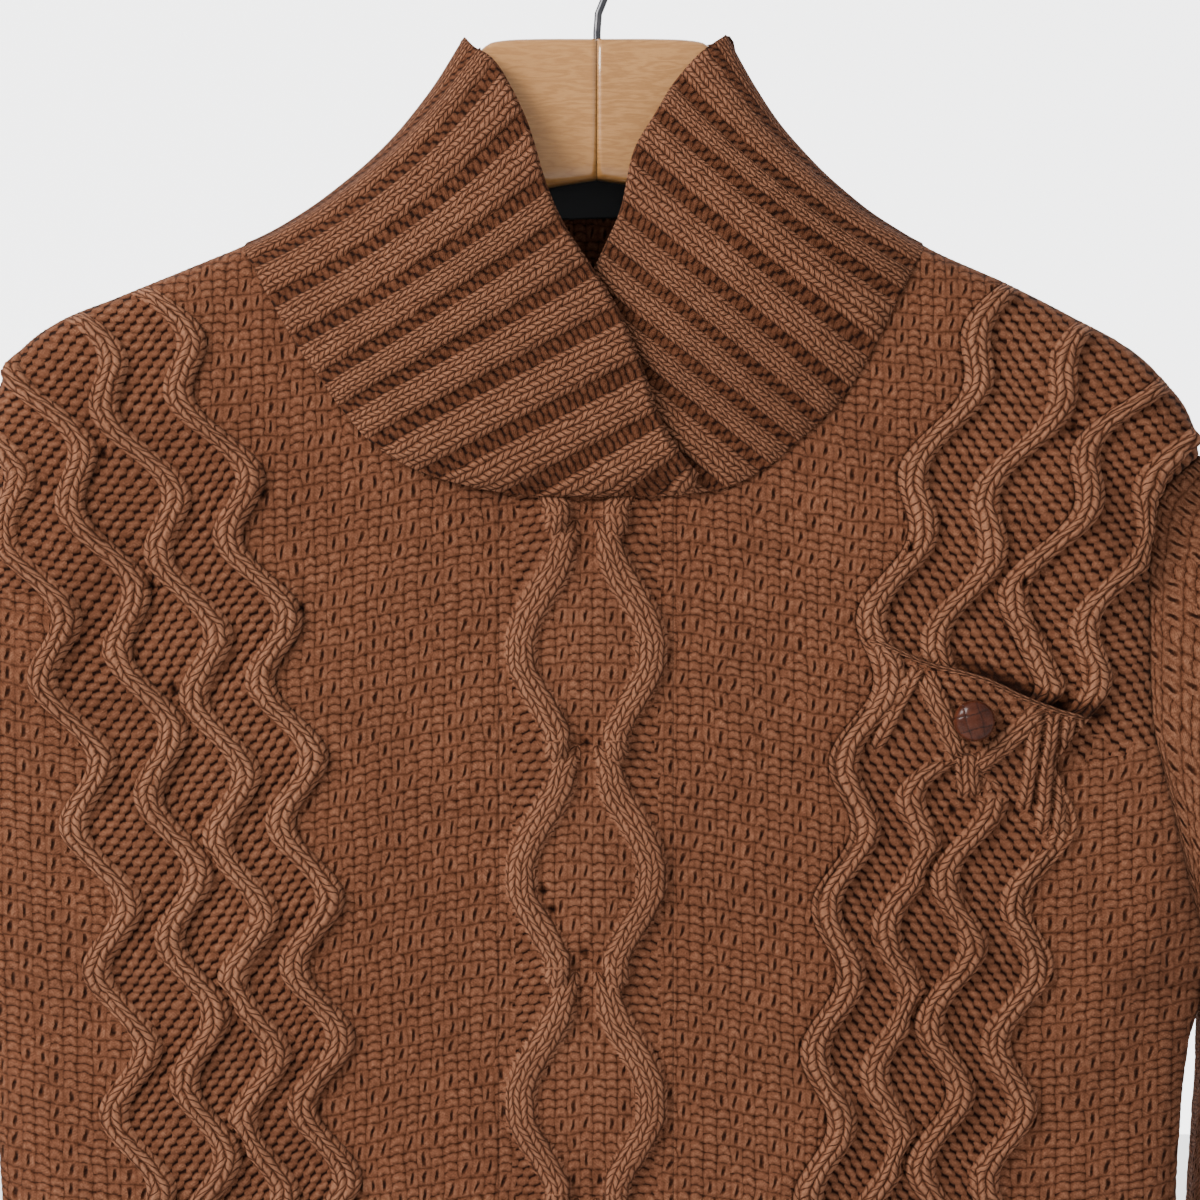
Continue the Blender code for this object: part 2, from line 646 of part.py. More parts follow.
def make_cuff(name, left):
    shares = np.array([SLEEVE_END + 0.003, SLEEVE_END + 0.012, 0.96, 1.0])
    grid, out = tube_grid(shares, left, CUFF_RIBS * 2)
    shrink = np.array([0.0, 0.5, 1.0, 0.6])[:, None, None]
    rise = RIB_RISE * (np.arange(CUFF_RIBS * 2) % 2)[None, :, None]
    outer = grid + out * (rise * np.array([0.3, 1, 1, 1])[:, None, None] - shrink)
    rows = [0, 1, 2, 3]
    cols = list(range(0, CUFF_RIBS * 2, 2))
    inner = (grid - out * (WALL + shrink))[:, cols]
    wall(name, drape(outer), drape(inner), rows, cols, closed=True)


# ------------------------------------------------------------------ collar


def crowded(share):
    """Shares of the length of each row: even at 0, crowded at the fold at 1."""
    even = np.linspace(0, 1, COLLAR_ROWS)
    folded = np.append(np.linspace(0, 0.977, COLLAR_ROWS - 3), (0.985, 0.992, 1.0))
    return even + (folded - even) * share


def wing_rib(row, lap, crowd):
    """Points from the neck seam to the free edge of one wing."""
    seam_x, edge_x, edge_z, edge_y, bow, bulge = row
    seam_z = smooth(NECK[:, 0], NECK[:, 1], seam_x)
    slope = (smooth(NECK[:, 0], NECK[:, 1], seam_x + 2) - seam_z) / 2
    seam_y = -depth(np.array(seam_x), np.array(seam_z)) - lap
    start = np.array([seam_x, seam_y, seam_z])
    end = np.array([edge_x, edge_y, edge_z])
    along = end - start
    length = np.linalg.norm(along)
    rising = abs(along[2] - slope * along[0]) / math.hypot(1, slope) / length
    start = start + along / length * COLLAR_GAP / max(rising, 0.3)
    side_on = np.array([along[2], 0, -along[0]]) / length
    control = (start + end) / 2 + 2 * bow * side_on + np.array([0, -2 * bulge, 0])
    t = crowded(crowd)[:, None]
    return (1 - t) ** 2 * start + 2 * t * (1 - t) * control + t * t * end


def back_rib(share):
    """Points of one rib behind the neck: up, over the roll and down again."""
    seam_x = smooth((0, 0.5, 1), (-143.5, -3.0, 132.5), share)
    seam_z = smooth(BACK_NECK[:, 0], BACK_NECK[:, 1], seam_x)
    seam_y = depth(np.array(seam_x), np.array(seam_z)) * ease(-0.04, 0.05, min(share, 1 - share))
    start = np.array([seam_x, seam_y, seam_z])
    roll = np.array([smooth(FOLD[:, 0], FOLD[:, c], share) for c in (1, 2, 3)])
    along = roll - start
    stand = np.linalg.norm(along)
    along = along / stand
    start = start + along * 1.7 * COLLAR_GAP
    outward = np.array([0.0, 1.0, 0.0]) - along * along[1]
    outward -= along * np.dot(outward, along)
    outward /= np.linalg.norm(outward)
    near_tip = 1 - ease(0.0, 0.24, min(share, 1 - share))
    total = max(COLLAR_DEPTH, stand + 3)
    radius = 1.2 + (ROLL_RADIUS - 1.2) * ease(0, 0.2, min(share, 1 - share))
    roll_length = min(np.pi * radius, 0.6 * (total - stand))
    run = np.linspace(0, stand, COLLAR_ROWS - 3)
    run = np.append(run, (stand + roll_length / 2, stand + roll_length, total))
    down = np.array([0.0, 0.0, -1.0]) - along
    down /= np.linalg.norm(down)
    bow = np.array([0.72 * np.sign(0.5 - share), 0, -0.69]) * 38 * near_tip
    points = []
    for s in run:
        if s <= stand:
            t = s / stand
            points.append(start + along * (s - 1.7 * COLLAR_GAP * t) + bow * t * (1 - t))
            continue
        angle = min((s - stand) / radius, np.pi)
        turned = along * math.sin(angle) + outward * (1 - math.cos(angle))
        fall = max(s - stand - np.pi * radius, 0)
        points.append(roll + turned * radius + down * fall + outward * 0.05 * fall)
    return np.array(points)


def collar_stations():
    """Rib number of each station, and its points from seam to free edge."""
    numbers, ribs = [], []
    for i, row in enumerate(UPPER_WING):
        numbers.append(max(i - 1, -0.5))
        crowd = max(0.0, 1 - 0.34 * (len(UPPER_WING) - 1 - i))
        ribs.append(wing_rib(row, COLLAR_LAP * ease(-145, -95, row[0]), crowd))
    first = numbers[-1]
    for i in range(BACK_RIBS):
        share = i / (BACK_RIBS - 1)
        numbers.append(first + 1 + i)
        ribs.append(back_rib(share))
    first = numbers[-1]
    for i, row in enumerate(LOWER_WING):
        numbers.append(first + 1 + i)
        ribs.append(wing_rib(row, 0.0, max(0.0, 1 - 0.34 * i)))
    numbers[-1] -= 0.5
    return np.array(numbers), np.array(ribs)


def rib_at(numbers, ribs, at):
    """Points of the rib at a given number, smooth through the stations."""
    first = numbers[len(UPPER_WING)]
    if first <= at <= first + BACK_RIBS - 1:
        return back_rib((at - first) / (BACK_RIBS - 1))
    i = int(np.clip(np.searchsorted(numbers, at, side="right") - 1, 0, len(numbers) - 2))
    t = (at - numbers[i]) / (numbers[i + 1] - numbers[i])
    low = ribs[max(i - 1, 0)]
    high = ribs[min(i + 2, len(ribs) - 1)]
    a, b = ribs[i], ribs[i + 1]
    slope_a = (b - low) / 2
    slope_b = (high - a) / 2
    return (
        a * (1 + 2 * t) * (1 - t) ** 2
        + slope_a * t * (1 - t) ** 2
        + b * t * t * (3 - 2 * t)
        + slope_b * t * t * (t - 1)
    )


def make_collar():
    numbers, ribs = collar_stations()
    lines = [(numbers[0], 0.0)]
    for whole in range(0, int(numbers[-1]) + 1):
        lines.append((whole - LADDER, 0.0))
        lines.append((whole + LADDER, 0.0))
        lines.append((whole + 0.27, 1.0))
        lines.append((whole + 0.73, 1.0))
    lines = [line for line in lines if line[0] < numbers[-1] - 0.1]
    lines.append((numbers[-1], 0.0))
    grid = np.array([rib_at(numbers, ribs, at) for at, rise in lines])
    grid = grid.transpose(1, 0, 2)
    found = np.cross(np.gradient(grid, axis=0), np.gradient(grid, axis=1))
    found /= np.linalg.norm(found, axis=2, keepdims=True)
    if found[COLLAR_ROWS // 2, 20, 1] > 0:
        found = -found
    seam = np.gradient(grid[0], axis=0)
    up = np.stack([-seam[:, 2], 0 * seam[:, 0], seam[:, 0]], axis=1)
    up /= np.linalg.norm(up, axis=1, keepdims=True)
    found[0] -= up * np.sum(found[0] * up, axis=1, keepdims=True)
    found[0] /= np.linalg.norm(found[0], axis=1, keepdims=True)
    at = np.array([number for number, height in lines])
    tips = numbers[len(UPPER_WING)], numbers[len(UPPER_WING)] + BACK_RIBS - 1
    flat = np.exp(-((at - tips[0]) ** 2)) + np.exp(-((at - tips[1]) ** 2))
    rise = np.array([height for number, height in lines]) * RIB_RISE * (1 - np.minimum(flat, 1))
    rise = rise[None, :]
    ends = np.ones(COLLAR_ROWS)
    ends[0] = 0.4
    outer = grid + found * (rise * ends[:, None])[:, :, None]
    cols = list(range(0, len(lines) - 2, 4)) + [len(lines) - 1]
    rows = list(range(COLLAR_ROWS))
    inner = (grid - found * WALL)[:, cols]
    wall("collar", drape(outer), drape(inner), rows, cols)


# ------------------------------------------------------ pocket and its button


def make_pocket(columns, levels):
    """Ribbed pocket laid on the front's points, its mouth a little open."""
    first = len(columns) - 3 - 16
    lines = columns[first : first + 16]
    rises = np.tile([0.0, 1.0, 1.0, 0.0], 4)
    x, z = column_grid(
        lines,
        levels,
        lambda at: smooth(OPENING[:, 0], OPENING[:, 1], at),
        (0, 3, 8, 14),
        POCKET_ROWS,
        POCKET_END,
    )
    grid = np.stack([x, -depth(x, z), z], axis=2)
    out = normals(grid, np.array([0.0, -1.0, 0.0]))
    below = z[:1] - z
    stand = SEAM + 0.2 + POCKET_MOUTH * (1 - ease(2, 34, below))
    share = np.arange(16)[None, :] / 15
    edge = ease(0, 0.14, share) * ease(1, 0.86, share) * ease(POCKET_END, POCKET_END + 24, z)
    thick = 1.2 + (POCKET_WALL - 1.2) * edge
    rise = rises[None, :] * CABLE_RISE * ease(0, 20, below) * ease(POCKET_END, POCKET_END + 14, z)
    inner = grid + out * stand[:, :, None]
    outer = inner + out * (thick + rise)[:, :, None]
    rows = [0, 1, 2, 3] + list(range(5, POCKET_ROWS - 1, 2)) + [POCKET_ROWS - 1]
    cols = [0, 3, 4, 7, 8, 11, 12, 15]
    wall("pocket", drape(outer), drape(inner[np.ix_(rows, cols)]), rows, cols)


def make_button():
    """Domed leather button: a profile turned about its own axis."""
    profile = ((0, 0), (6.4, 0), (8.2, 1.0), (8.7, 2.5), (8.1, 4.3), (6.2, 6.0), (3.4, 7.0), (0, 7.4))
    mesh = bpy.data.meshes.new("pocket_button")
    points = [(r * MM, 0, h * MM) for r, h in profile]
    mesh.from_pydata(points, [(i, i + 1) for i in range(len(points) - 1)], [])
    mesh.materials.append(MATERIALS["leather"])
    button = bpy.data.objects.new("pocket_button", mesh)
    PARTS.objects.link(button)
    turn = button.modifiers.new("turned", "SCREW")
    turn.steps = 16
    turn.render_steps = 16
    turn.use_merge_vertices = True
    turn.merge_threshold = 0.00005
    turn.use_normal_calculate = True
    x, z = BUTTON_AT
    off = SEAM + 0.2 + POCKET_MOUTH * 0.6 + POCKET_WALL + CABLE_RISE + 0.4
    place = drape(np.array([[x, -float(depth(np.array(x), np.array(z))) - off, z]]))[0]
    button.location = place * MM
    button.rotation_euler = (math.radians(92), 0, math.radians(-4))


def make_label():
    """Bare woven label inside the back neck, just under the seam."""
    x = np.tile(np.linspace(-30, 28, 5), (3, 1))
    z = np.array([-118.5, -129.0, -139.5])[:, None] + 0.03 * (x + 1)
    y = depth(x, z) - WALL - 0.8
    grid = np.stack([x, y, z], axis=2)
    under = grid + np.array([0, -0.8, 0])
    wall("neck_label", drape(grid), drape(under), [0, 1, 2], list(range(5)), "label")


# ------------------------------------------------------------------ hanger


def make_hanger_half(name, sign):
    """Loft of rounded sections from the glue line out to the arm's end."""
    count = 12
    turn = np.linspace(0, 2 * np.pi, count, endpoint=False) + np.pi / count
    across = np.sign(np.cos(turn)) * np.abs(np.cos(turn)) ** 0.5
    up = np.sign(np.sin(turn)) * np.abs(np.sin(turn)) ** 0.5
    rings = []
    for x, top, bottom, half in ARM:
        middle = (top + bottom) / 2
        tall = (top - bottom) / 2
        y = half * across
        z = middle + tall * up
        here = max(x, JOINT)
        if x == ARM[-1, 0]:
            z = middle + tall * 0.8 * up
        y = y + contour(np.full(count, here), np.full(count, -200.0))
        rings.append(np.stack([np.full(count, sign * here), y, z], axis=1))
    points = np.concatenate(rings)
    faces = []
    for r in range(len(rings) - 1):
        for c in range(count):
            d = (c + 1) % count
            low, high = r * count, (r + 1) * count
            faces.append((low + c, low + d, high + d, high + c))
    faces.append(tuple(range(count)))
    faces.append(tuple(range((len(rings) - 1) * count, len(rings) * count)))
    half = new_object(name, points, faces, "maple")
    cut = half.modifiers.new("hook bore", "BOOLEAN")
    cut.operation = "DIFFERENCE"
    cut.solver = "EXACT"
    cut.object = bpy.data.objects["bore_cutter"]
    return half


def make_bore_cutter():
    bpy.ops.mesh.primitive_cylinder_add(
        vertices=16, radius=BORE_RADIUS * MM, depth=60 * MM, location=(0, 0, (BORE_END + 30) * MM)
    )
    cutter = bpy.context.active_object
    cutter.name = "bore_cutter"
    for held in list(cutter.users_collection):
        held.objects.unlink(cutter)
    CUTTERS.objects.link(cutter)
    cutter.hide_render = True
    cutter.display_type = "WIRE"


def make_hook():
    """Bent wire: a shank in the bore, then the round that bears on a rail."""
    centre_z = WIRE_RADIUS - HOOK_RADIUS
    points = list(SHANK)
    for i in range(20):
        angle = HOOK_ARC[0] + (HOOK_ARC[1] - HOOK_ARC[0]) * i / 19
        x = HOOK_RADIUS * math.cos(angle)
        points.append((x, centre_z + HOOK_RADIUS * math.sin(angle)))
    curve = bpy.data.curves.new("hook", "CURVE")
    curve.dimensions = "3D"
    curve.bevel_depth = WIRE_RADIUS * MM
    curve.bevel_resolution = 2
    curve.use_fill_caps = True
    line = curve.splines.new("POLY")
    line.points.add(len(points) - 1)
    for i, (x, z) in enumerate(points):
        line.points[i].co = (x * MM, 0, z * MM, 1)
    curve.materials.append(MATERIALS["steel"])
    hook = bpy.data.objects.new("hook", curve)
    PARTS.objects.link(hook)


# ------------------------------------------------------------------- scene

for thing in list(bpy.data.objects):
    bpy.data.objects.remove(thing, do_unlink=True)

MATERIALS = {}
for slot, (colour, roughness, metallic) in COLOURS.items():
    material = bpy.data.materials.new(slot)
    material.use_nodes = True
    shader = material.node_tree.nodes["Principled BSDF"]
    shader.inputs["Base Color"].default_value = (*colour, 1)
    shader.inputs["Roughness"].default_value = roughness
    shader.inputs["Metallic"].default_value = metallic
    MATERIALS[slot] = material

PARTS = bpy.data.collections.new("shawl_collar_sweater")
CUTTERS = bpy.data.collections.new("cutters")
for group in (PARTS, CUTTERS):
    bpy.context.scene.collection.children.link(group)

front_columns, front_levels = make_front()
make_back()
make_hem("hem_front", -1)
make_hem("hem_back", 1)
for side_name, is_left in (("left", True), ("right", False)):
    make_sleeve("sleeve_" + side_name, is_left)
    make_cuff("cuff_" + side_name, is_left)
make_collar()
make_pocket(front_columns, front_levels)
make_button()
make_label()
make_bore_cutter()
make_hanger_half("hanger_left", 1)
make_hanger_half("hanger_right", -1)
make_hook()
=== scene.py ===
"""Looks of a hand-knit shawl collar sweater on a wooden hanger.

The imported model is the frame. Each cloth piece is a thin closed shell on the
form of its solid, from the same named curves in millimetres, with points for
every stitch: on the front, columns a quarter of a wale apart and rows a third
of a course. The map named Stitch counts wales and courses, and the wool is
drawn from it.
"""

import json
import math

import bpy
import numpy as np
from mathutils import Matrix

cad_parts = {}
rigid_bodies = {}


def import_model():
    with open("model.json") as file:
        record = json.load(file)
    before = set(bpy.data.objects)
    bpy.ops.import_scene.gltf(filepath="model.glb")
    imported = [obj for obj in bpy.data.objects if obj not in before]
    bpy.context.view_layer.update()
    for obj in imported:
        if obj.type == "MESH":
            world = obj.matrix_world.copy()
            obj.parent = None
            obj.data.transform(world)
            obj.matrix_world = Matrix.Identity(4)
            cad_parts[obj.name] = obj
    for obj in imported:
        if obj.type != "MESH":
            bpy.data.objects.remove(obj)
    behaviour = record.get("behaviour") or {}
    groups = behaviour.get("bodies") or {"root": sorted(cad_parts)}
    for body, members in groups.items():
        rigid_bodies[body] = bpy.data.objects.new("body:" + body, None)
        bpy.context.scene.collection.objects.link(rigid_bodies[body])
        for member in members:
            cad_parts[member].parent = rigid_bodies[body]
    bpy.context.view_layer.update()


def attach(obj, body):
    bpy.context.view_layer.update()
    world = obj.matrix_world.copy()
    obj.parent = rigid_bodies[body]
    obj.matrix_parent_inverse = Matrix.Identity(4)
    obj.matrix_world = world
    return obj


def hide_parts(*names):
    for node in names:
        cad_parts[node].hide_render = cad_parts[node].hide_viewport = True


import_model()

MM = 0.001

# Knitting
STITCH = 5.4  # width of one wale
COURSE = 3.78  # height of one course
RIB_WALES = 1.7  # wales across a travelling rib
FIRST_WALE = 11 - RIB_WALES / 2  # count at its edge, so that wale 11 is its middle
WIDE_STITCH = 6.2  # a wale in the side panels, which are stretched
PITCH = STITCH / 4
LEVEL = COURSE / 3
PURL, KNIT, MOSS, BAND = 0, 1, 2, 3
STITCH_RISE = 0.9
BAND_TOPS = (-300.0, -365.0)  # below these the side panels are banded
WALE_ZERO = 200  # counts start well above 0
COURSE_ZERO = 400
PURL_WIDE, PURL_TALL = 0.70, 0.55  # half sizes of a purl bump, in wales and courses
PURL_ROUND = 0.35
PURL_LEAN = 0.55
SLIT_LEAN, SLIT_HALF, SLIT_REACH = 0.12, 0.15, 0.8  # the slit in an upright block
SCATTER_COLUMN, SCATTER_PAIR = 0.7549, 0.5698  # scatter the blocks that break the pattern
MOSS_SWAP, BAND_SWAP = 0.22, 0.27  # share of the blocks that do
RIB_ROUND = 0.36
WALL = 3.0

# Body, as it hangs: the same forms as the solids
CABLE_RISE = 4.4
RIB_RISE = 2.4
STRAND_FOOT = 6.4
SHOULDER_DEPTH = 15.0
BODY_DEPTH = 30.0
ARM_TOP = -243.5
ARM_END = -466.1
ARM_DEPTH = 20.0
HEM_TOP = -746.0
HEM_END = -812.0
HEM_RIBS = 40
COLLAR_DEPTH = 128.0
COLLAR_START = -2.6
COLLAR_COURSE = 3.0
COLLAR_LAP = 5.8
ROLL_RADIUS = 5.0
BACK_RIBS = 11
LADDER = 0.14
SLEEVE_END = 0.92
CUFF_RIBS = 13
POCKET_END = -472.0
POCKET_MOUTH = 7.0
POCKET_BAND = 2.4
BUTTON_AT = (156.2, -354.4)
BUTTON_RADIUS = 8.6

RIDGE = np.array([
    (-257.0, -243.5), (-254.1, -222.0), (-246.5, -203.0), (-228.9, -187.5),
    (-202.4, -176.0), (-166.7, -161.0), (-148.7, -153.2), (-110.0, -128.0),
    (-60.0, -98.0), (0.0, -72.0), (60.0, -98.0), (105.0, -128.0),
    (137.8, -153.2), (173.5, -170.0),
    (200.8, -184.2), (223.9, -197.3), (240.7, -213.0), (251.0, -229.0),
    (254.1, -243.5),
])
NECK = np.array([
    (-148.7, -153.2), (-140.7, -165.8), (-128.9, -186.8), (-112.1, -212.0),
    (-91.1, -237.2), (-70.1, -249.0), (-45.0, -256.5), (0.0, -258.2),
    (45.0, -256.5), (64.3, -249.8), (85.3, -233.0), (102.1, -216.2),
    (118.9, -186.8), (127.3, -170.0), (137.8, -153.2),
])
BACK_NECK = np.array([
    (-148.7, -153.2), (-110.0, -137.0), (-60.0, -120.5), (0.0, -115.0),
    (60.0, -120.5), (105.0, -137.0), (137.8, -153.2),
])
SIDES = np.array([
    (-243.5, -257.0, 254.1), (-250.0, -252.6, 244.9), (-262.0, -250.8, 235.0),
    (-290.0, -251.6, 231.0), (-321.0, -253.3, 230.4), (-350.0, -254.9, 231.4),
    (-388.0, -255.8, 239.4), (-425.0, -257.4, 248.4), (-449.0, -258.4, 254.5),
    (-466.1, -259.1, 256.6), (-493.0, -255.8, 250.3), (-552.0, -252.4, 245.6),
    (-640.0, -248.4, 244.6), (-700.0, -246.0, 243.6), (-746.0, -242.0, 241.0),
    (-762.0, -235.0, 236.0), (-790.0, -233.0, 234.0), (-812.0, -234.5, 235.5),
])
# Travelling ribs: end x, lean, lean fades over, swing, period, phase z
RIBS = {
    "A": (-108.5, -78.6, 131.8, 8.7, 59.1, -235.9),
    "B": (-132.8, -92.0, 136.2, 8.0, 58.9, -184.2),
    "C": (-152.6, -105.3, 149.7, 7.8, 59.6, -223.4),
    "D": (-175.1, -107.2, 191.7, 8.7, 60.2, -234.2),
    "E": (89.3, 83.2, 137.6, 6.5, 61.2, -202.2),
    "F": (115.7, 104.2, 120.0, 6.8, 61.0, -211.5),
    "G": (138.2, 129.7, 110.4, 7.8, 60.7, -192.1),
    "H": (160.2, 135.2, 134.7, 7.0, 58.9, -208.5),
}
RIB_START = -178.4
# How two ribs turn on the pocket: rib, shift, z, spread
POCKET_TURNS = (("F", 13.0, -369.0, 12.0), ("G", 21.0, -346.0, 14.0))
# Distance from the middle, and how far each course has sagged there
SAG = np.array([(0.0, 0.0), (40.0, 3.0), (130.0, 19.0), (185.0, 23.0), (260.0, 13.0)])
# Small holes beside the ribs: x and z
EYELETS = (
    (-205.4, -243.5), (-139.0, -259.9), (-185.2, -298.5), (-176.0, -341.4), (-123.0, -307.8),
    (198.7, -233.0), (-4.4, -364.0), (-4.8, -452.0), (-18.5, -433.8), (-22.3, -425.8),
    (-166.0, -395.0), (148.0, -392.0), (131.0, -283.0), (178.0, -297.0),
)
# Centre cable: each strand leaves the middle under one crossing and ends in a
# knuckle just below the next. Share of the period, distance out, half width
CABLE_X = -4.3
CABLE_TOP = -268.7
CABLE_PERIOD = 94.5
CABLE_HALF = 27 * PITCH
STRAND_RISE = 4.4
STRAND_PATH = np.array([
    (0.03, 7.0, 4.6), (0.08, 8.2, 5.0), (0.124, 9.7, 5.6), (0.213, 12.0, 7.3),
    (0.302, 16.2, 8.2), (0.391, 21.2, 8.0), (0.48, 25.4, 7.1), (0.569, 27.6, 6.7),
    (0.658, 27.2, 6.6), (0.747, 23.6, 7.1), (0.836, 18.6, 7.4), (0.924, 14.1, 6.7),
    (0.969, 12.3, 6.1), (1.013, 12.3, 5.7), (1.058, 12.8, 5.2), (1.12, 13.6, 4.8),
])
# Knit cords on the pocket: top x and z, foot x and z, half width, rise
POCKET_CORDS = (
    (124.3, -330.9, 109.6, -361.1, 3.1, 3.2),
    (132.3, -334.6, 117.2, -364.0, 3.1, 3.2),
    (137.3, -338.0, 150.4, -368.2, 4.6, 3.4),
    (181.9, -352.3, 159.2, -373.3, 4.6, 3.4),
    (181.5, -352.8, 178.5, -388.4, 3.1, 3.2),
    (188.5, -354.0, 185.5, -397.6, 3.1, 3.2),
    (195.5, -355.6, 192.5, -399.6, 3.1, 3.2),
    (202.0, -357.0, 199.0, -391.8, 3.1, 3.2),
    (154.1, -369.9, 155.0, -385.0, 5.2, 3.0),
)
# Height above which each rib gives way to those cords on the pocket
POCKET_RIB_TOPS = {"F": -371.0, "G": -386.0, "H": -408.0}
# Line of the pocket's mouth: x and z
OPENING = np.array([
    (112.0, -319.0), (117.6, -321.2), (136.5, -329.6), (160.4, -336.3),
    (181.9, -346.0), (203.3, -352.3), (216.0, -353.0),
])
# Ribs of the collar's wings: seam x, edge x, edge z, edge y, bow, bulge
UPPER_WING = np.array([
    (41.0, 42.5, -253.0, -38.0, 0.0, 0.0),
    (19.0, 36.0, -244.5, -38.0, 0.0, 0.0),
    (-28.6, 26.5, -228.4, -38.0, 0.0, 1.0),
    (-67.2, 19.3, -207.0, -38.0, 0.0, 3.0),
    (-90.6, 10.1, -184.7, -37.5, 0.0, 5.0),
    (-103.6, -1.3, -165.8, -36.0, 1.0, 7.0),
    (-113.0, -13.4, -146.9, -33.0, 2.0, 9.0),
    (-124.0, -21.0, -129.3, -29.0, 4.0, 10.0),
    (-134.0, -29.4, -102.0, -23.0, 7.0, 9.0),
    (-143.0, -41.2, -78.4, -17.5, 10.0, 7.0),
    (-148.2, -50.5, -69.0, -13.5, 10.0, 3.0),
])
LOWER_WING = np.array([
    (137.3, 47.0, -68.0, -13.5, -9.0, 3.0),
    (131.5, 33.2, -83.9, -16.0, -7.0, 7.0),
    (124.6, 24.8, -98.0, -19.0, -4.0, 9.0),
    (113.0, 15.1, -115.4, -22.5, -2.0, 9.0),
    (102.1, 9.7, -139.3, -25.5, 0.0, 8.0),
    (91.1, 2.9, -155.7, -26.5, 0.0, 6.0),
    (80.2, -4.6, -171.0, -27.5, 0.0, 4.0),
    (68.5, -11.3, -184.0, -28.0, 0.0, 2.5),
    (48.0, -20.6, -203.0, -28.0, 0.0, 1.5),
    (18.1, -31.0, -228.8, -28.0, 0.0, 1.0),
    (-20.0, -41.0, -245.0, -28.0, 0.0, 0.0),
    (-39.0, -44.0, -250.5, -28.0, 0.0, 0.0),
])
# Top of the collar's roll behind the neck: share of the way round, x, y, z
FOLD = np.array([
    (0.0, -57.0, -3.0, -64.5), (0.07, -54.5, 7.0, -67.5),
    (0.14, -48.0, 12.0, -70.5), (0.3, -26.0, 13.0, -72.5),
    (0.5, -1.0, 13.0, -73.0), (0.7, 25.0, 13.0, -72.0),
    (0.86, 46.0, 12.0, -69.5), (0.93, 52.5, 7.0, -66.0), (1.0, 55.0, -3.0, -61.8),
])
# Share of the length, outer x and z, inner x and z, middle y, half depth
SLEEVE = np.array([
    (0.0, 254.1, -243.5, 256.6, -466.1, 0.0, 20.0),
    (0.15, 297.0, -298.0, 257.0, -506.0, 10.0, 24.0),
    (0.35, 333.0, -402.0, 255.0, -562.0, 18.0, 25.0),
    (0.55, 352.0, -520.0, 253.0, -630.0, 19.0, 23.0),
    (0.75, 356.0, -632.0, 256.0, -695.0, 17.0, 21.0),
    (0.92, 352.0, -728.0, 266.0, -742.0, 14.0, 18.0),
    (1.0, 350.0, -792.0, 268.0, -804.0, 13.0, 17.0),
])
# Arm of the hanger: x, top z, bottom z, half depth
ARM = np.array([
    (0.0, -65.0, -125.1, 8.0), (16.0, -65.0, -127.6, 8.0),
    (32.0, -65.3, -131.0, 8.0), (44.0, -66.5, -134.2, 8.0),
    (51.0, -71.5, -136.4, 8.0), (58.0, -82.5, -139.0, 8.0),
    (66.0, -99.0, -142.4, 8.0), (76.0, -114.5, -147.0, 8.0),
    (92.0, -134.0, -156.0, 8.0), (110.0, -147.5, -168.0, 8.0),
    (132.0, -160.5, -182.0, 8.0), (158.0, -173.5, -197.0, 8.0),
    (190.0, -189.5, -214.5, 8.0), (214.0, -202.5, -227.5, 7.8),
    (231.0, -215.0, -236.0, 7.0), (238.5, -223.0, -235.5, 5.0),
])
WIRE_RADIUS = 1.65
SHANK = ((0.0, -86.0), (0.0, -62.0), (0.6, -54.0), (3.6, -46.5), (9.5, -39.0))
HOOK_RADIUS = 20.0
HOOK_ARC = (-0.62, 3.75)
# Creases: middle x and z, length, direction in degrees from upright, width, depth
FRONT_CREASES = (
    (-218.0, -300.0, 90.0, 14.0, 15.0, 2.6), (-196.0, -420.0, 120.0, -8.0, 20.0, 1.8),
    (205.0, -285.0, 80.0, -18.0, 14.0, 2.4), (218.0, -455.0, 90.0, 24.0, 16.0, 2.2),
    (-60.0, -640.0, 120.0, 6.0, 22.0, 2.4), (84.0, -610.0, 140.0, -5.0, 24.0, 2.0),
    (-150.0, -690.0, 80.0, -12.0, 16.0, 2.0), (190.0, -680.0, 90.0, 10.0, 18.0, 2.4),
)
BACK_CREASES = (
    (-205.0, -310.0, 110.0, 12.0, 15.0, 3.2), (196.0, -330.0, 120.0, -15.0, 16.0, 3.0),
    (-120.0, -230.0, 70.0, 60.0, 13.0, 2.2), (112.0, -220.0, 66.0, -55.0, 12.0, 2.4),
    (-40.0, -520.0, 150.0, 4.0, 22.0, 3.0), (70.0, -600.0, 130.0, -7.0, 20.0, 3.2),
    (-170.0, -640.0, 110.0, 9.0, 18.0, 3.0), (180.0, -560.0, 120.0, 14.0, 18.0, 2.6),
    (0.0, -300.0, 90.0, -80.0, 16.0, 1.6),
)


# ---------------------------------------------------------------- curves


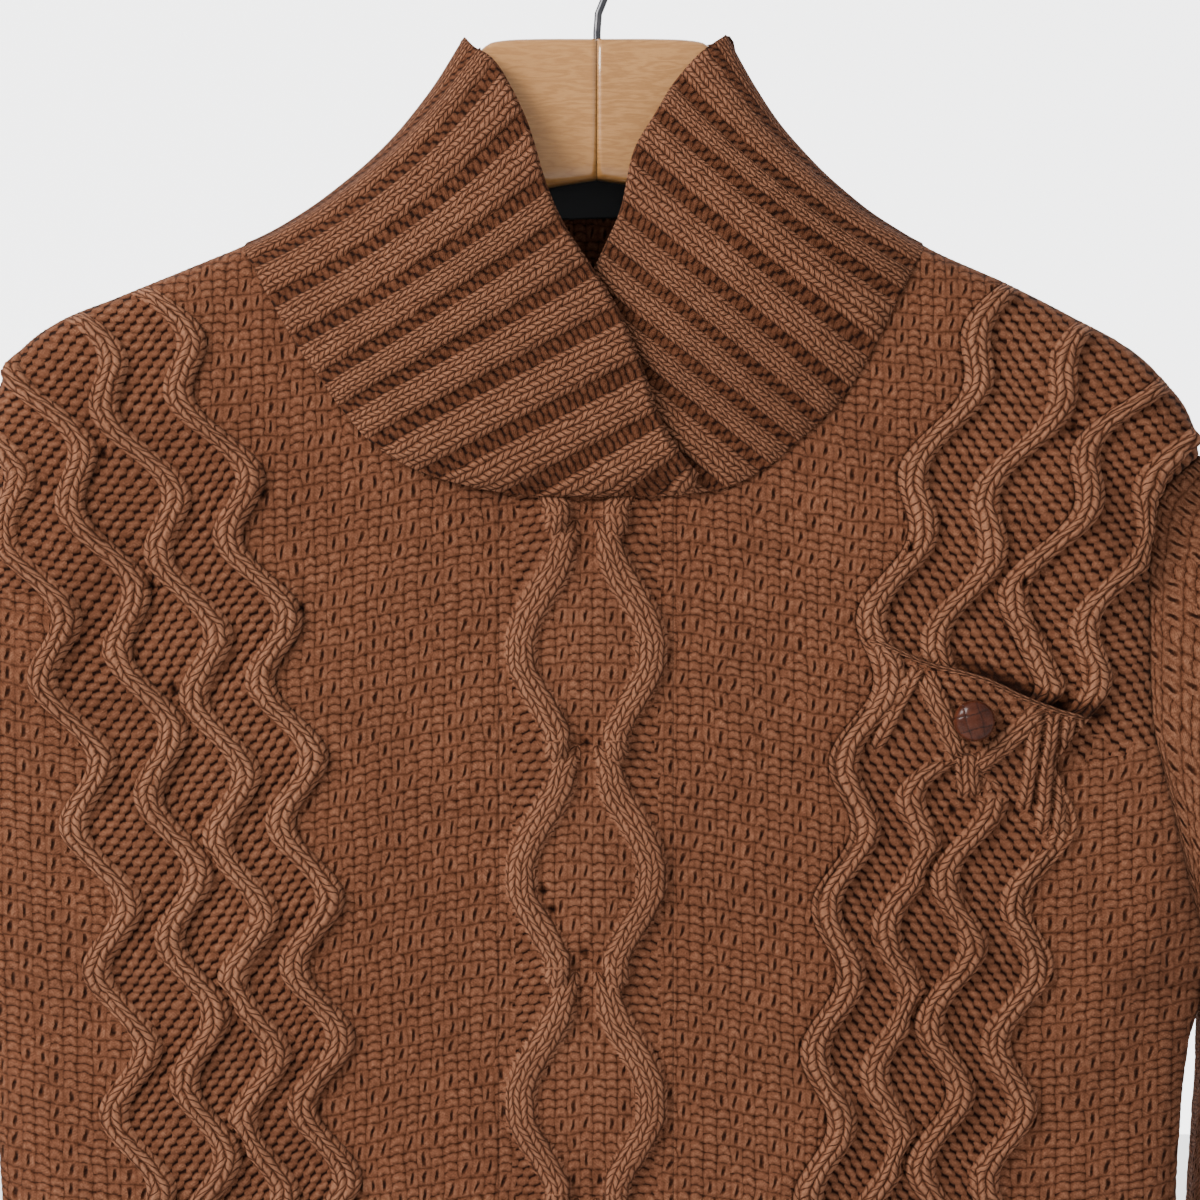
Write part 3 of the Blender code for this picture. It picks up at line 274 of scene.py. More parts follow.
def smooth(xs, ys, at):
    """Monotone cubic through a table, held level past both ends."""
    xs = np.asarray(xs, float)
    ys = np.asarray(ys, float)
    if xs[0] > xs[-1]:
        xs, ys = xs[::-1], ys[::-1]
    step = np.diff(xs)
    rise = np.diff(ys) / step
    slope = np.zeros(len(xs))
    same = rise[1:] * rise[:-1] > 0
    weight_a = 2 * step[1:] + step[:-1]
    weight_b = step[1:] + 2 * step[:-1]
    safe_a = np.where(same, rise[:-1], 1.0)
    safe_b = np.where(same, rise[1:], 1.0)
    mean = (weight_a + weight_b) / (weight_a / safe_a + weight_b / safe_b)
    slope[1:-1] = np.where(same, mean, 0.0)
    slope[0] = rise[0]
    slope[-1] = rise[-1]
    at = np.clip(at, xs[0], xs[-1])
    i = np.clip(np.searchsorted(xs, at, side="right") - 1, 0, len(step) - 1)
    t = (at - xs[i]) / step[i]
    return (
        ys[i] * (1 + 2 * t) * (1 - t) ** 2
        + slope[i] * step[i] * t * (1 - t) ** 2
        + ys[i + 1] * t * t * (3 - 2 * t)
        + slope[i + 1] * step[i] * t * t * (t - 1)
    )


def ease(low, high, at):
    t = np.clip((at - low) / (high - low), 0.0, 1.0)
    return t * t * (3 - 2 * t)


def ridge(x):
    return smooth(RIDGE[:, 0], RIDGE[:, 1], x)


def front_top(x):
    neck = smooth(NECK[:, 0], NECK[:, 1], x)
    inside = (x > NECK[0, 0]) & (x < NECK[-1, 0])
    return np.where(inside, neck, ridge(x))


def back_top(x):
    neck = smooth(BACK_NECK[:, 0], BACK_NECK[:, 1], x)
    inside = (x > BACK_NECK[0, 0]) & (x < BACK_NECK[-1, 0])
    return np.where(inside, neck, ridge(x))


def side(z, left):
    return smooth(SIDES[:, 0], SIDES[:, 2 if left else 1], z)


def rib_x(name, z):
    end, lean, fade, swing, period, phase = RIBS[name]
    x = end + lean * np.exp((z - RIB_START) / fade)
    x = x + swing * np.sin(2 * np.pi * (phase - z) / period)
    for rib, shift, turn_z, spread in POCKET_TURNS:
        if rib == name:
            x = x + shift * np.exp(-(((z - turn_z) / spread) ** 2))
    return x


def arm_rim(z):
    middle = (ARM_TOP + ARM_END) / 2
    half = (ARM_TOP - ARM_END) / 2
    return ARM_DEPTH * np.sqrt(np.clip(1 - ((z - middle) / half) ** 2, 0, 1))


def depth(x, z):
    """Half depth of the hanging body, from the middle plane to its outside."""
    below = np.clip(ridge(x) - z, 0, None)
    deep = SHOULDER_DEPTH + (BODY_DEPTH - SHOULDER_DEPTH) * (1 - np.exp(-below / 80))
    deep = deep * (1 - 0.14 * ease(-732, -762, z))
    top = np.sqrt(1 - np.exp(-below / 6))
    width = np.where(x < 0, -side(z, False), side(z, True))
    share = np.clip(np.abs(x) / width, 0, 1)
    power = 4 + 30 * np.exp(-np.clip(ARM_TOP - z, 0, None) / 50)
    rounded = np.sqrt(np.clip(1 - share**power, 0, 1))
    rim = arm_rim(z)
    return rim + (np.maximum(deep * top, rim) - rim) * rounded


def contour(x, z):
    """Forward sweep of the hanger's arms, which fades down the garment."""
    sweep = 0.05 * (np.sqrt(x * x + 900) - 30) + 9e-5 * np.minimum(x * x, 62500)
    return -sweep * (0.35 + 0.65 * ease(-620, -240, z))


def creases(x, z, table):
    """Soft uneven ridges and hollows laid along short lines."""
    total = np.zeros(np.shape(x))
    for mid_x, mid_z, length, lean, width, deep in table:
        turn = math.radians(lean)
        along = (z - mid_z) * math.cos(turn) + (x - mid_x) * math.sin(turn)
        across = (x - mid_x) * math.cos(turn) - (z - mid_z) * math.sin(turn)
        across = across + 5.0 * np.sin(along / 31 + mid_x)
        fade = np.exp(-((along / (0.55 * length)) ** 2))
        near = across / width
        total += deep * fade * (np.exp(-near * near) - 0.7 * np.exp(-((near - 1.3) ** 2)))
    return total


def folds(x, z, back):
    """Soft hanging folds, deeper towards the hem and unlike on each side."""
    low = ease(-330, -720, z)
    if back:
        wave = 3.6 * np.sin(x / 34 - 0.4) + 2.4 * np.sin(x / 19 + z / 150)
        wave = low * wave + 1.2 * np.sin((x + 0.6 * z) / 60) * ease(-170, -260, z)
        return wave + creases(x, z, BACK_CREASES) * ease(-160, -190, z)
    wave = 3.2 * np.sin(x / 41 + 0.9) + 2.0 * np.sin(x / 23 - z / 170 + 0.5)
    return low * wave + creases(x, z, FRONT_CREASES)


def drape(points):
    """Moves every cloth point by the same sweep, folds and creases."""
    points = np.array(points, float)
    x, y, z = points[..., 0], points[..., 1], points[..., 2]
    inside = ease(262, 236, np.abs(x))
    front = ease(0, -14, y) * inside
    back = ease(0, 14, y) * inside
    shift = contour(x, z) - front * folds(x, z, False) + back * folds(x, z, True)
    points[..., 1] = y + shift
    return points


def unit(vectors):
    return vectors / np.maximum(np.linalg.norm(vectors, axis=-1, keepdims=True), 1e-9)


def grid_normals(grid, toward):
    """Unit normals of a point grid, on the side that toward is on."""
    found = unit(np.cross(np.gradient(grid, axis=0), np.gradient(grid, axis=1)))
    flip = np.sign(np.sum(found * toward, axis=2, keepdims=True))
    return found * np.where(flip == 0, 1, flip)


# --------------------------------------------------------------- stitches


def fract(a):
    return a - np.floor(a)


def knit(u, v):
    """Height of knit stitches, 0 to 1: two plump legs a wale, a V in each course."""
    apart = np.abs(fract(u) - 0.5)
    leg = np.sqrt(np.abs(np.sin(2 * np.pi * apart)))
    along = 2 * fract(v + 2 * apart) - 1
    return leg * (1 - 0.6 * along**4)


def purl(u, v, lean=0.0):
    """Rows of slanting bumps laid like bricks, each under the end of the next."""
    row = np.floor(v)
    best = np.zeros(np.broadcast(u, v).shape)
    for j in (0, 1):
        across = fract(u + 0.5 * (row + j)) - 0.5
        down = v - row - j + lean * across
        best = np.maximum(best, 1 - (across / PURL_WIDE) ** 2 - (down / PURL_TALL) ** 2)
    return np.maximum(best, 0) ** PURL_ROUND


def lean_at(x):
    """Bumps rise towards the middle of the front."""
    return -PURL_LEAN * np.clip(x / 70.0, -1, 1)


def blocks(u, v):
    """Heights of a knit block two courses high, and of purl bumps."""
    apart = np.abs(fract(u) - 0.5)
    along = 2 * fract(v / 2) - 1
    slit = np.clip(1 - (np.abs(fract(u + SLIT_LEAN * along) - 0.5) / SLIT_HALF) ** 2, 0, 1)
    reach = np.clip(1 - (along / SLIT_REACH) ** 2, 0, 1)
    upright = 1 - 0.85 * slit * reach - 0.2 * (2 * apart) ** 4 - 0.35 * along**6
    arc = 0.15 * np.cos(2 * np.pi * apart)
    off = np.abs(fract(v) - 0.5 + arc - 0.05) / 0.56
    bump = (0.35 + 0.65 * np.sqrt(np.clip(1 - off * off, 0, 1))) * (1 - 0.35 * (2 * apart) ** 6)
    return upright, bump


def scatter(column, pair):
    return fract(column * SCATTER_COLUMN + pair * SCATTER_PAIR)


def moss(u, v):
    """Blocks of one wale by two courses, knit and purl in turn."""
    upright, bump = blocks(u, v)
    column, pair = np.floor(u), np.floor(v / 2)
    odd = (column + pair + (scatter(column, pair) < MOSS_SWAP)) % 2
    return np.where(odd > 0.5, bump, upright)


def band(u, v):
    """Two courses of knit, then two of purl, broken here and there."""
    upright, bump = blocks(u, v)
    column, pair = np.floor(u), np.floor(v / 2)
    odd = (pair + (scatter(column, pair) < BAND_SWAP)) % 2
    return np.where(odd > 0.5, bump + 0.2, upright)


def stitch_height(kind, u, v, lean=0.0):
    u = u + 1e-5
    v = v + 1e-5
    flat = np.where(kind == PURL, purl(u, v, lean), moss(u, v))
    flat = np.where(kind == KNIT, knit(u, v), flat)
    return np.where(kind == BAND, band(u, v), flat)


def course_at(x, z):
    """Courses counted downwards; they sag on both sides of the middle."""
    sag = smooth(SAG[:, 0], SAG[:, 1], np.abs(x - CABLE_X))
    return (HEM_TOP - z - sag) / COURSE + COURSE_ZERO + 0.24 * uneven(x, z, 13.0, 6.0)


def wale_of(x, z):
    """Wales counted across the front where they run straight down."""
    return (x - CABLE_X) / STITCH + WALE_ZERO + 0.2 * uneven(x, z, 15.0, 8.0)


def band_or_purl(x, z):
    limit = np.where(x < 0, BAND_TOPS[0], BAND_TOPS[1]) + 9 * uneven(x, z, 11.0, 3.0)
    return np.where(z < limit, BAND, PURL)


def eyelets(x, z):
    """1 in the middle of each small hole beside the ribs."""
    total = np.zeros(np.shape(x))
    for hole_x, hole_z in EYELETS:
        total += np.exp(-(((x - hole_x) / 1.2) ** 2) - ((z - hole_z) / 1.7) ** 2)
    return np.clip(0.8 * total, 0, 1)


def uneven(x, z, size, seed):
    """Smooth unevenness between -1 and 1, the same every run."""
    a = np.sin(x / size + 1.7 * seed) * np.cos(z / (0.83 * size) - 0.9 * seed)
    b = np.sin((x + z) / (0.57 * size) + 2.3 * seed) * np.cos((x - 0.6 * z) / (0.41 * size))
    return 0.6 * a + 0.4 * b


# ------------------------------------------------------------------ shells


def strip(fine, coarse, picks):
    """Triangles between a fine edge and the coarser edge under it."""
    faces = []
    for k in range(len(coarse) - 1):
        low, high = picks[k], picks[k + 1]
        middle = (low + high) // 2
        for a in range(low, high):
            foot = coarse[k] if a < middle or high - low == 1 else coarse[k + 1]
            faces.append((fine[a], fine[a + 1], foot))
            if a + 1 == middle and high - low > 1:
                faces.append((fine[a + 1], coarse[k + 1], coarse[k]))
        if high - low == 1:
            faces.append((fine[high], coarse[k + 1], coarse[k]))
    return np.array(faces).reshape(-1, 3)


def cells_of(ids):
    """Two triangles for each cell of an id grid, and which corners they use."""
    corners = np.stack([ids[:-1, :-1], ids[:-1, 1:], ids[1:, 1:], ids[1:, :-1]], axis=-1)
    corners = corners.reshape(-1, 4)
    picks = np.array([[0, 3, 2], [0, 2, 1]])
    return corners[:, picks].reshape(-1, 3), picks


def make_mesh(name, points, faces, uv, weave, tone, material, flat=None):
    """A mesh object with a Stitch map and its weave and tone attributes."""
    used, faces_used = np.unique(faces, return_inverse=True)
    faces = faces_used.reshape(-1, 3)
    mesh = bpy.data.meshes.new(name)
    mesh.vertices.add(len(used))
    mesh.vertices.foreach_set("co", (points[used] * MM).astype(np.float32).ravel())
    mesh.loops.add(faces.size)
    mesh.loops.foreach_set("vertex_index", faces.astype(np.int32).ravel())
    mesh.polygons.add(len(faces))
    mesh.polygons.foreach_set("loop_start", np.arange(0, faces.size, 3, dtype=np.int32))
    mesh.update(calc_edges=True)
    layer = mesh.uv_layers.new(name="Stitch")
    layer.data.foreach_set("uv", uv.astype(np.float32).ravel())
    colours = np.zeros((faces.size, 4), np.float32)
    kinds = np.repeat(weave, 3)
    for channel, kind in enumerate((KNIT, PURL, MOSS)):
        colours[:, channel] = kinds == kind
    colours[:, 3] = 1
    weave_layer = mesh.attributes.new("Weave", "FLOAT_COLOR", "CORNER")
    weave_layer.data.foreach_set("color", colours.ravel())
    tones = np.concatenate([tone[used], np.ones((len(used), 1))], axis=1).astype(np.float32)
    tone_layer = mesh.attributes.new("Tone", "FLOAT_COLOR", "POINT")
    tone_layer.data.foreach_set("color", tones.ravel())
    mesh.materials.append(material)
    smooth_faces = np.ones(len(faces), bool) if flat is None else ~flat
    mesh.polygons.foreach_set("use_smooth", smooth_faces)
    mesh.validate(clean_customdata=False)
    thing = bpy.data.objects.new(name, mesh)
    bpy.context.scene.collection.objects.link(thing)
    bpy.context.view_layer.objects.active = thing
    bpy.ops.object.mode_set(mode="EDIT")
    bpy.ops.mesh.select_all(action="SELECT")
    bpy.ops.mesh.normals_make_consistent(inside=False)
    bpy.ops.object.mode_set(mode="OBJECT")
    return thing


def corner_values(values):
    """Values at the four corners of each cell of a grid."""
    return np.stack([values[:-1, :-1], values[:-1, 1:], values[1:, 1:], values[1:, :-1]], axis=-1)


def real_faces(faces):
    """Which triangles have three different corners."""
    a, b, c = faces.T
    return (a != b) & (b != c) & (c != a)


def grid_ids(height, width, closed=False):
    """A number for each point of a grid; the last column is the first if closed."""
    ids = np.arange(height * width).reshape(height, width)
    if closed:
        ids[:, -1] = ids[:, 0]
    return ids


def shell(name, outer, under, ids, u, v, cells, tone, rows, cols, material):
    """Closed shell: a fine outer grid, and an inner grid of picked lines under it.

    ids are the points it covers, and u and v the stitch counts at each point.
    cells has both counts at the corners of each cell, and the cell's weave.
    """
    size = outer.shape[0] * outer.shape[1]
    points = np.concatenate([outer.reshape(-1, 3), under.reshape(-1, 3)])
    tones = np.concatenate([tone.reshape(-1, 3), np.zeros((size, 3))])
    inner = ids[np.ix_(rows, cols)] + size
    faces, picks = cells_of(ids)
    inner_faces = cells_of(inner)[0]
    strips = [strip(ids[0], inner[0], cols), strip(ids[-1], inner[-1], cols)]
    if not np.array_equal(ids[:, 0], ids[:, -1]):
        strips += [strip(ids[:, 0], inner[:, 0], rows), strip(ids[:, -1], inner[:, -1], rows)]
    rims = np.concatenate(strips)
    plain = np.concatenate([inner_faces, rims])
    counts = []
    for corners, at_points in zip(cells[:2], (u, v)):
        at_cells = corners.reshape(-1, 4)[:, picks].reshape(-1, 3)
        counts.append(np.concatenate([at_cells, np.tile(at_points.ravel(), 2)[plain]]))
    uv = np.stack(counts, axis=-1)
    weave = np.concatenate([
        np.repeat(cells[2].ravel(), 2), np.full(len(inner_faces), MOSS), np.full(len(rims), KNIT),
    ])
    smooth_count = len(faces) + len(inner_faces)
    flat = np.concatenate([np.zeros(smooth_count, bool), np.ones(len(rims), bool)])
    faces = np.concatenate([faces, plain])
    real = real_faces(faces)
    return make_mesh(
        name, points, faces[real], uv[real], weave[real], tones, material, flat[real]
    )


def picked(first, last, every):
    """first, last and the numbers between them that are a multiple of every."""
    inside = [i for i in range(first + 1, last) if i % every == 0]
    return [first] + inside + [last]


def rounded_edge(distance, reach=2.0):
    """How far a knitted edge turns in, at a distance from it."""
    t = 1 - np.clip(distance / reach, 0, 1)
    return 0.46 * WALL * (1 - np.sqrt(np.clip(1 - t * t, 0, 1)))


# --------------------------------------------------------- panels cut in cloth


class Panel:
    """Columns of stitches between moving lines, clipped to lines and to a top.

    x and z are the points, ids the point each grid place stands for, and
    cell_kind, cell_u and cell_v the weave and the stitch counts of each cell.
    """

    def __init__(self, levels, segments, pitch, top_line):
        self.levels = levels
        columns, home, rules, starts = [], [], [], []
        for left, right, kind, cells in segments:
            first = len(columns)
            starts.append(first)
            if cells:
                for i in range(cells):
                    columns.append(left + (right - left) * i / cells)
                    home.append(np.full(len(levels), first + i))
                    low, high = (FIRST_WALE + RIB_WALES * (i + k) / cells for k in (0, 1))
                    rules.append((kind, low, high) if kind == KNIT else (kind, None, None))
                continue
            low = math.ceil((left.min() - CABLE_X) / pitch)
            high = math.floor((right.max() - CABLE_X) / pitch)
            after = first + 1 + high - low + 1
            columns.append(left)
            home.append(np.full(len(levels), first))
            rules.append((kind, None, None))
            for j in range(low, high + 1):
                line = np.full(len(levels), CABLE_X + j * pitch)
                place = np.full(len(levels), len(columns))
                place = np.where(line < left + 0.45 * pitch, first, place)
                place = np.where(line > right - 0.45 * pitch, after, place)
                columns.append(np.clip(line, left, right))
                home.append(place)
                rules.append((kind, None, None))
        columns.append(segments[-1][1])
        home.append(np.full(len(levels), len(columns) - 1))
        starts.append(len(columns) - 1)
        self.starts = starts
        self.rules = rules
        self.home = np.array(home).T
        self.x = np.array(columns).T
        self.z = np.repeat(levels[:, None], self.x.shape[1], axis=1)
        self.cut(top_line)

    def cut(self, top_line):
        """Moves the first point under the top line of each column up to it."""
        over = self.z - top_line(self.x)
        first = np.argmax(over <= 0, axis=0)
        before = np.maximum(first - 1, 0)
        c = np.arange(self.x.shape[1])
        span = over[before, c] - over[first, c]
        share = np.where(span > 0, over[before, c] / np.maximum(span, 1e-9), 0.0)
        self.z[before, c] += share * (self.z[first, c] - self.z[before, c])
        self.x[before, c] += share * (self.x[first, c] - self.x[before, c])
        height, width = self.x.shape
        k = np.maximum(np.arange(height)[:, None], before[None, :])
        column = np.repeat(c[None, :], height, axis=0)
        for _ in range(2):
            column = self.home[k, column]
            k = np.maximum(k, before[column])
        self.ids = k * width + column
        self.top = before

    def at(self, values):
        """Values of the point that each place of the grid stands for."""
        return values.reshape(-1, *values.shape[2:])[self.ids]

    def count(self):
        """Stitch counts and weave of each cell."""
        height, width = self.x.shape
        x = self.at(self.x)
        z = self.at(self.z)
        corner_x, corner_z = corner_values(x), corner_values(z)
        self.cell_u = wale_of(corner_x, corner_z)
        self.cell_v = course_at(corner_x, corner_z)
        self.cell_kind = np.zeros((height - 1, width - 1), int)
        self.corner_x, self.corner_z = corner_x, corner_z
        for c, (kind, low, high) in enumerate(self.rules):
            self.cell_kind[:, c] = kind
            if kind == BAND:
                middle = corner_x[:, c].mean(axis=-1), corner_z[:, c].mean(axis=-1)
                self.cell_kind[:, c] = band_or_purl(*middle)
                wide = (self.cell_kind[:, c] == BAND)[:, None]
                stretched = corner_x[:, c] / WIDE_STITCH + WALE_ZERO
                self.cell_u[:, c] = np.where(wide, stretched, self.cell_u[:, c])
            if low is not None:
                self.cell_u[:, c] = np.array([low, high, high, low])
        return self

    def cells(self, part=slice(None)):
        """Stitch counts and weave of the cells in some columns, as shell wants them."""
        return self.cell_u[:, part], self.cell_v[:, part], self.cell_kind[:, part]


def wale_at(panel):
    """Stitch counts of each point: those of the cell on its right."""
    u = wale_of(panel.x, panel.z)
    for c, (kind, low, high) in enumerate(panel.rules):
        if low is not None:
            u[:, c] = low
    v = course_at(panel.x, panel.z)
    kind = np.array([rule[0] for rule in panel.rules] + [panel.rules[-1][0]])
    kind = np.repeat(kind[None, :], panel.x.shape[0], axis=0)
    kind = np.where(kind == BAND, band_or_purl(panel.x, panel.z), kind)
    u = np.where(kind == BAND, panel.x / WIDE_STITCH + WALE_ZERO, u)
    return u, v, kind


def body_points(x, z, sign):
    """Points on the outside of the body, and their normals."""
    y = depth(x, z)
    step = 0.6
    across = (depth(x + step, z) - depth(x - step, z)) / (2 * step)
    down = (depth(x, z + step) - depth(x, z - step)) / (2 * step)
    normal = unit(np.stack([-across, np.full(x.shape, 1.0), -down], axis=-1))
    normal[..., 1] *= sign
    grid = np.stack([x, sign * np.maximum(y, 0.05), z], axis=-1)
    return grid, normal


# ------------------------------------------------------------------- cable


def strand_x(t):
    return smooth(STRAND_PATH[:, 0], STRAND_PATH[:, 1], t)


def cable(x, z):
    """Height, weave and wale count of the centre cable at points."""
    away = x - CABLE_X
    share = fract((CABLE_TOP - z) / CABLE_PERIOD)
    reach = np.maximum(strand_x(share), 9.5)
    inside = np.abs(away) < reach
    beyond = np.abs(away) > 30 + 4 * uneven(x, z, 9.0, 2.0)
    kind = np.where(inside | beyond, MOSS, PURL)
    wale = np.where(inside, away / 5.25 + 200.5, wale_of(x, z) + np.where(beyond, 0, 50))
    puff = np.clip(1 - (away / np.maximum(reach, 1)) ** 2, 0, 1)
    height = inside * 1.6 * puff * ease(0.1, 0.4, share) * ease(1.0, 0.8, share)
    for lap in (0, 1):
        t = share + lap
        live = (t > 0.02) & (t < 1.105)
        slope = (strand_x(t + 0.01) - strand_x(t - 0.01)) / (0.02 * CABLE_PERIOD)
        half = smooth(STRAND_PATH[:, 0], STRAND_PATH[:, 2], t)
        knuckle = ease(0.93, 1.0, t)
        end = np.sqrt(np.clip(1 - np.clip((t - 1.02) / 0.083, 0, 1) ** 2, 0, 1))
        start = ease(0.01, 0.12, t)
        for sign in (-1, 1):
            from_line = sign * away - strand_x(t)
            near = from_line / (half * np.maximum(end, 0.2))
            crest = np.clip(1 - near * near, 0, 1) ** 0.4
            lift = live * crest * start * end * (STRAND_RISE + 1.5 * knuckle)
            own = lift > height + 0.05
            kind = np.where(own, KNIT, kind)
            across = from_line / np.sqrt(1 + slope * slope) / 5.0
            wale = np.where(own, sign * across + 102.5 + 10 * sign + 20 * lap, wale)
            height = np.maximum(height, lift)
    return height, kind, wale


# ------------------------------------------------------------------- front


def front_segments(z):
    """(left line, right line, weave, cells across or none) from side to side."""
    foot = STRAND_FOOT
    lines = [side(z, False)]
    for name in "DCBA":
        lines += [rib_x(name, z) - foot, rib_x(name, z) + foot]
    lines += [np.full(len(z), CABLE_X - CABLE_HALF), np.full(len(z), CABLE_X + CABLE_HALF)]
    for name in "EFGH":
        lines += [rib_x(name, z) - foot, rib_x(name, z) + foot]
    lines.append(side(z, True))
    half = len(lines) // 2
    for i in range(1, half):
        lines[i] = np.maximum(lines[i], lines[i - 1] + 1.5)
    for i in range(len(lines) - 2, half, -1):
        lines[i] = np.minimum(lines[i], lines[i + 1] - 1.5)
    kinds = [(BAND, 0), (KNIT, 12)] + 3 * [(PURL, 20), (KNIT, 12)]
    kinds = kinds + [(MOSS, 0), (PURL, 0), (MOSS, 0)] + kinds[::-1]
    return [(lines[i], lines[i + 1], *kinds[i]) for i in range(len(kinds))]


def rib_mask(panel):
    """Share of the way across its rib for each column, and -1 off the ribs."""
    share = np.full(panel.x.shape[1], -1.0)
    for first, (kind, low, high) in enumerate(panel.rules):
        if kind == KNIT and low is not None:
            share[first] = (low - FIRST_WALE) / RIB_WALES
    return share


def pocket_cover(x, z):
    left = rib_x("E", z) - STRAND_FOOT
    right = rib_x("H", z) + STRAND_FOOT
    below = smooth(OPENING[:, 0], OPENING[:, 1], x) - z
    across = ease(0, 4, x - left) * ease(0, 4, right - x)
    return across * ease(0, 3, below) * ease(POCKET_END, POCKET_END + 14, z)


def front_relief(panel, fade=1.0):
    """Height of ribs, cable and stitches over the front, and its tone: painted light on raised
    parts (partly wear), and painted shade in the holes and at the foot of each rib.
    """
    x, z = panel.x, panel.z
    u, v, kind = wale_at(panel)
    height = np.zeros(x.shape)
    share = rib_mask(panel)
    on_rib = (share >= 0) * fade
    crest = np.sin(np.pi * np.clip(share, 0, 1)) ** RIB_ROUND
    swell = 1 + 0.10 * np.sin(2 * np.pi * z / 19.0 + 0.02 * x)
    height += on_rib * crest * CABLE_RISE * swell
    gone = (share >= 0) & (on_rib < 0.5)
    kind = np.where(gone, PURL, kind)
    u = np.where(gone, wale_of(x, z), u)
    if panel.cable:
        zone = slice(panel.cable[0], panel.cable[1] + 1)
        lift, cable_kind, wale = cable(x[:, zone], z[:, zone])
        height[:, zone] = lift
        kind[:, zone] = cable_kind
        u[:, zone] = wale
    else:
        height, kind, u = pocket_cords(x, z, height, kind, u)
    stitches = stitch_height(kind, u, v, lean_at(x))
    # worn is 1 on raised ribs and cable strands, which the wool paints lighter: partly wear,
    # partly painted light on raised parts
    worn = ease(0.2, 4.0, height)
    height = height + STITCH_RISE * (stitches * (1 + 0.35 * worn) - 0.3 * worn)
    height = height + 0.25 * uneven(x, z, 9.0, 1.0)
    holes = eyelets(x, z)
    height = height * (1 - holes) - 1.6 * holes
    # Painted shade: the tone's third channel darkens the holes and the foot of each rib
    foot = np.exp(-((np.minimum(share, 1 - share) / 0.07) ** 2)) * (share >= 0) * fade
    tone = np.stack([worn, stitches, np.maximum(holes, 0.12 * foot + 0 * x)], axis=-1)
    return height, tone


def pocket_cords(x, z, height, kind, u):
    """Lays the pocket's own cords over its height, weave and wale count."""
    for top_x, top_z, low_x, low_z, half, rise in POCKET_CORDS:
        run = math.hypot(low_x - top_x, low_z - top_z)
        along = ((x - top_x) * (low_x - top_x) + (z - top_z) * (low_z - top_z)) / run**2
        across = ((x - top_x) * (low_z - top_z) - (z - top_z) * (low_x - top_x)) / run
        ends = ease(-0.12, 0.03, along) * ease(1.15, 0.9, along)
        lift = rise * ends * np.clip(1 - (across / half) ** 2, 0, 1) ** 0.4
        own = (lift > height) & (lift > 0.3)
        wales = 1 if half < 4 else 2
        kind = np.where(own, KNIT, kind)
        u = np.where(own, across / half * wales / 2 + 300 + wales / 2, u)
        height = np.maximum(height, lift)
    return height, kind, u


def cable_cells(panel):
    zone = slice(*panel.cable)
    centre_x = panel.corner_x[:, zone].mean(axis=-1)
    centre_z = panel.corner_z[:, zone].mean(axis=-1)
    panel.cell_kind[:, zone], centre = cable(centre_x, centre_z)[1:]
    for corner in range(4):
        inward_x = 0.9 * panel.corner_x[:, zone, corner] + 0.1 * centre_x
        inward_z = 0.9 * panel.corner_z[:, zone, corner] + 0.1 * centre_z
        wale = cable(inward_x, inward_z)[2]
        panel.cell_u[:, zone, corner] = np.where(np.abs(wale - centre) > 0.8, centre, wale)


def pocket_cells(panel, fade):
    centre_x = panel.corner_x.mean(axis=-1)
    centre_z = panel.corner_z.mean(axis=-1)
    share = rib_mask(panel)[:-1]
    gone = (share >= 0) & (fade[:-1, :-1] < 0.5)
    crest = np.sin(np.pi * np.clip(share, 0, 1)) ** RIB_ROUND
    height = ((share >= 0) & ~gone) * CABLE_RISE * crest
    kind = np.where(gone, PURL, panel.cell_kind)
    base = np.where(gone[..., None], wale_of(panel.corner_x, panel.corner_z), panel.cell_u)
    middle = base.mean(axis=-1)
    panel.cell_kind, centre = pocket_cords(centre_x, centre_z, height, kind, middle)[1:]
    own = np.abs(centre - middle) > 1e-6
    for corner in range(4):
        inward_x = 0.9 * panel.corner_x[..., corner] + 0.1 * centre_x
        inward_z = 0.9 * panel.corner_z[..., corner] + 0.1 * centre_z
        wale = pocket_cords(inward_x, inward_z, height, kind, base[..., corner])[2]
        wale = np.where(np.abs(wale - centre) > 0.8, centre, wale)
        panel.cell_u[..., corner] = np.where(own, wale, base[..., corner])


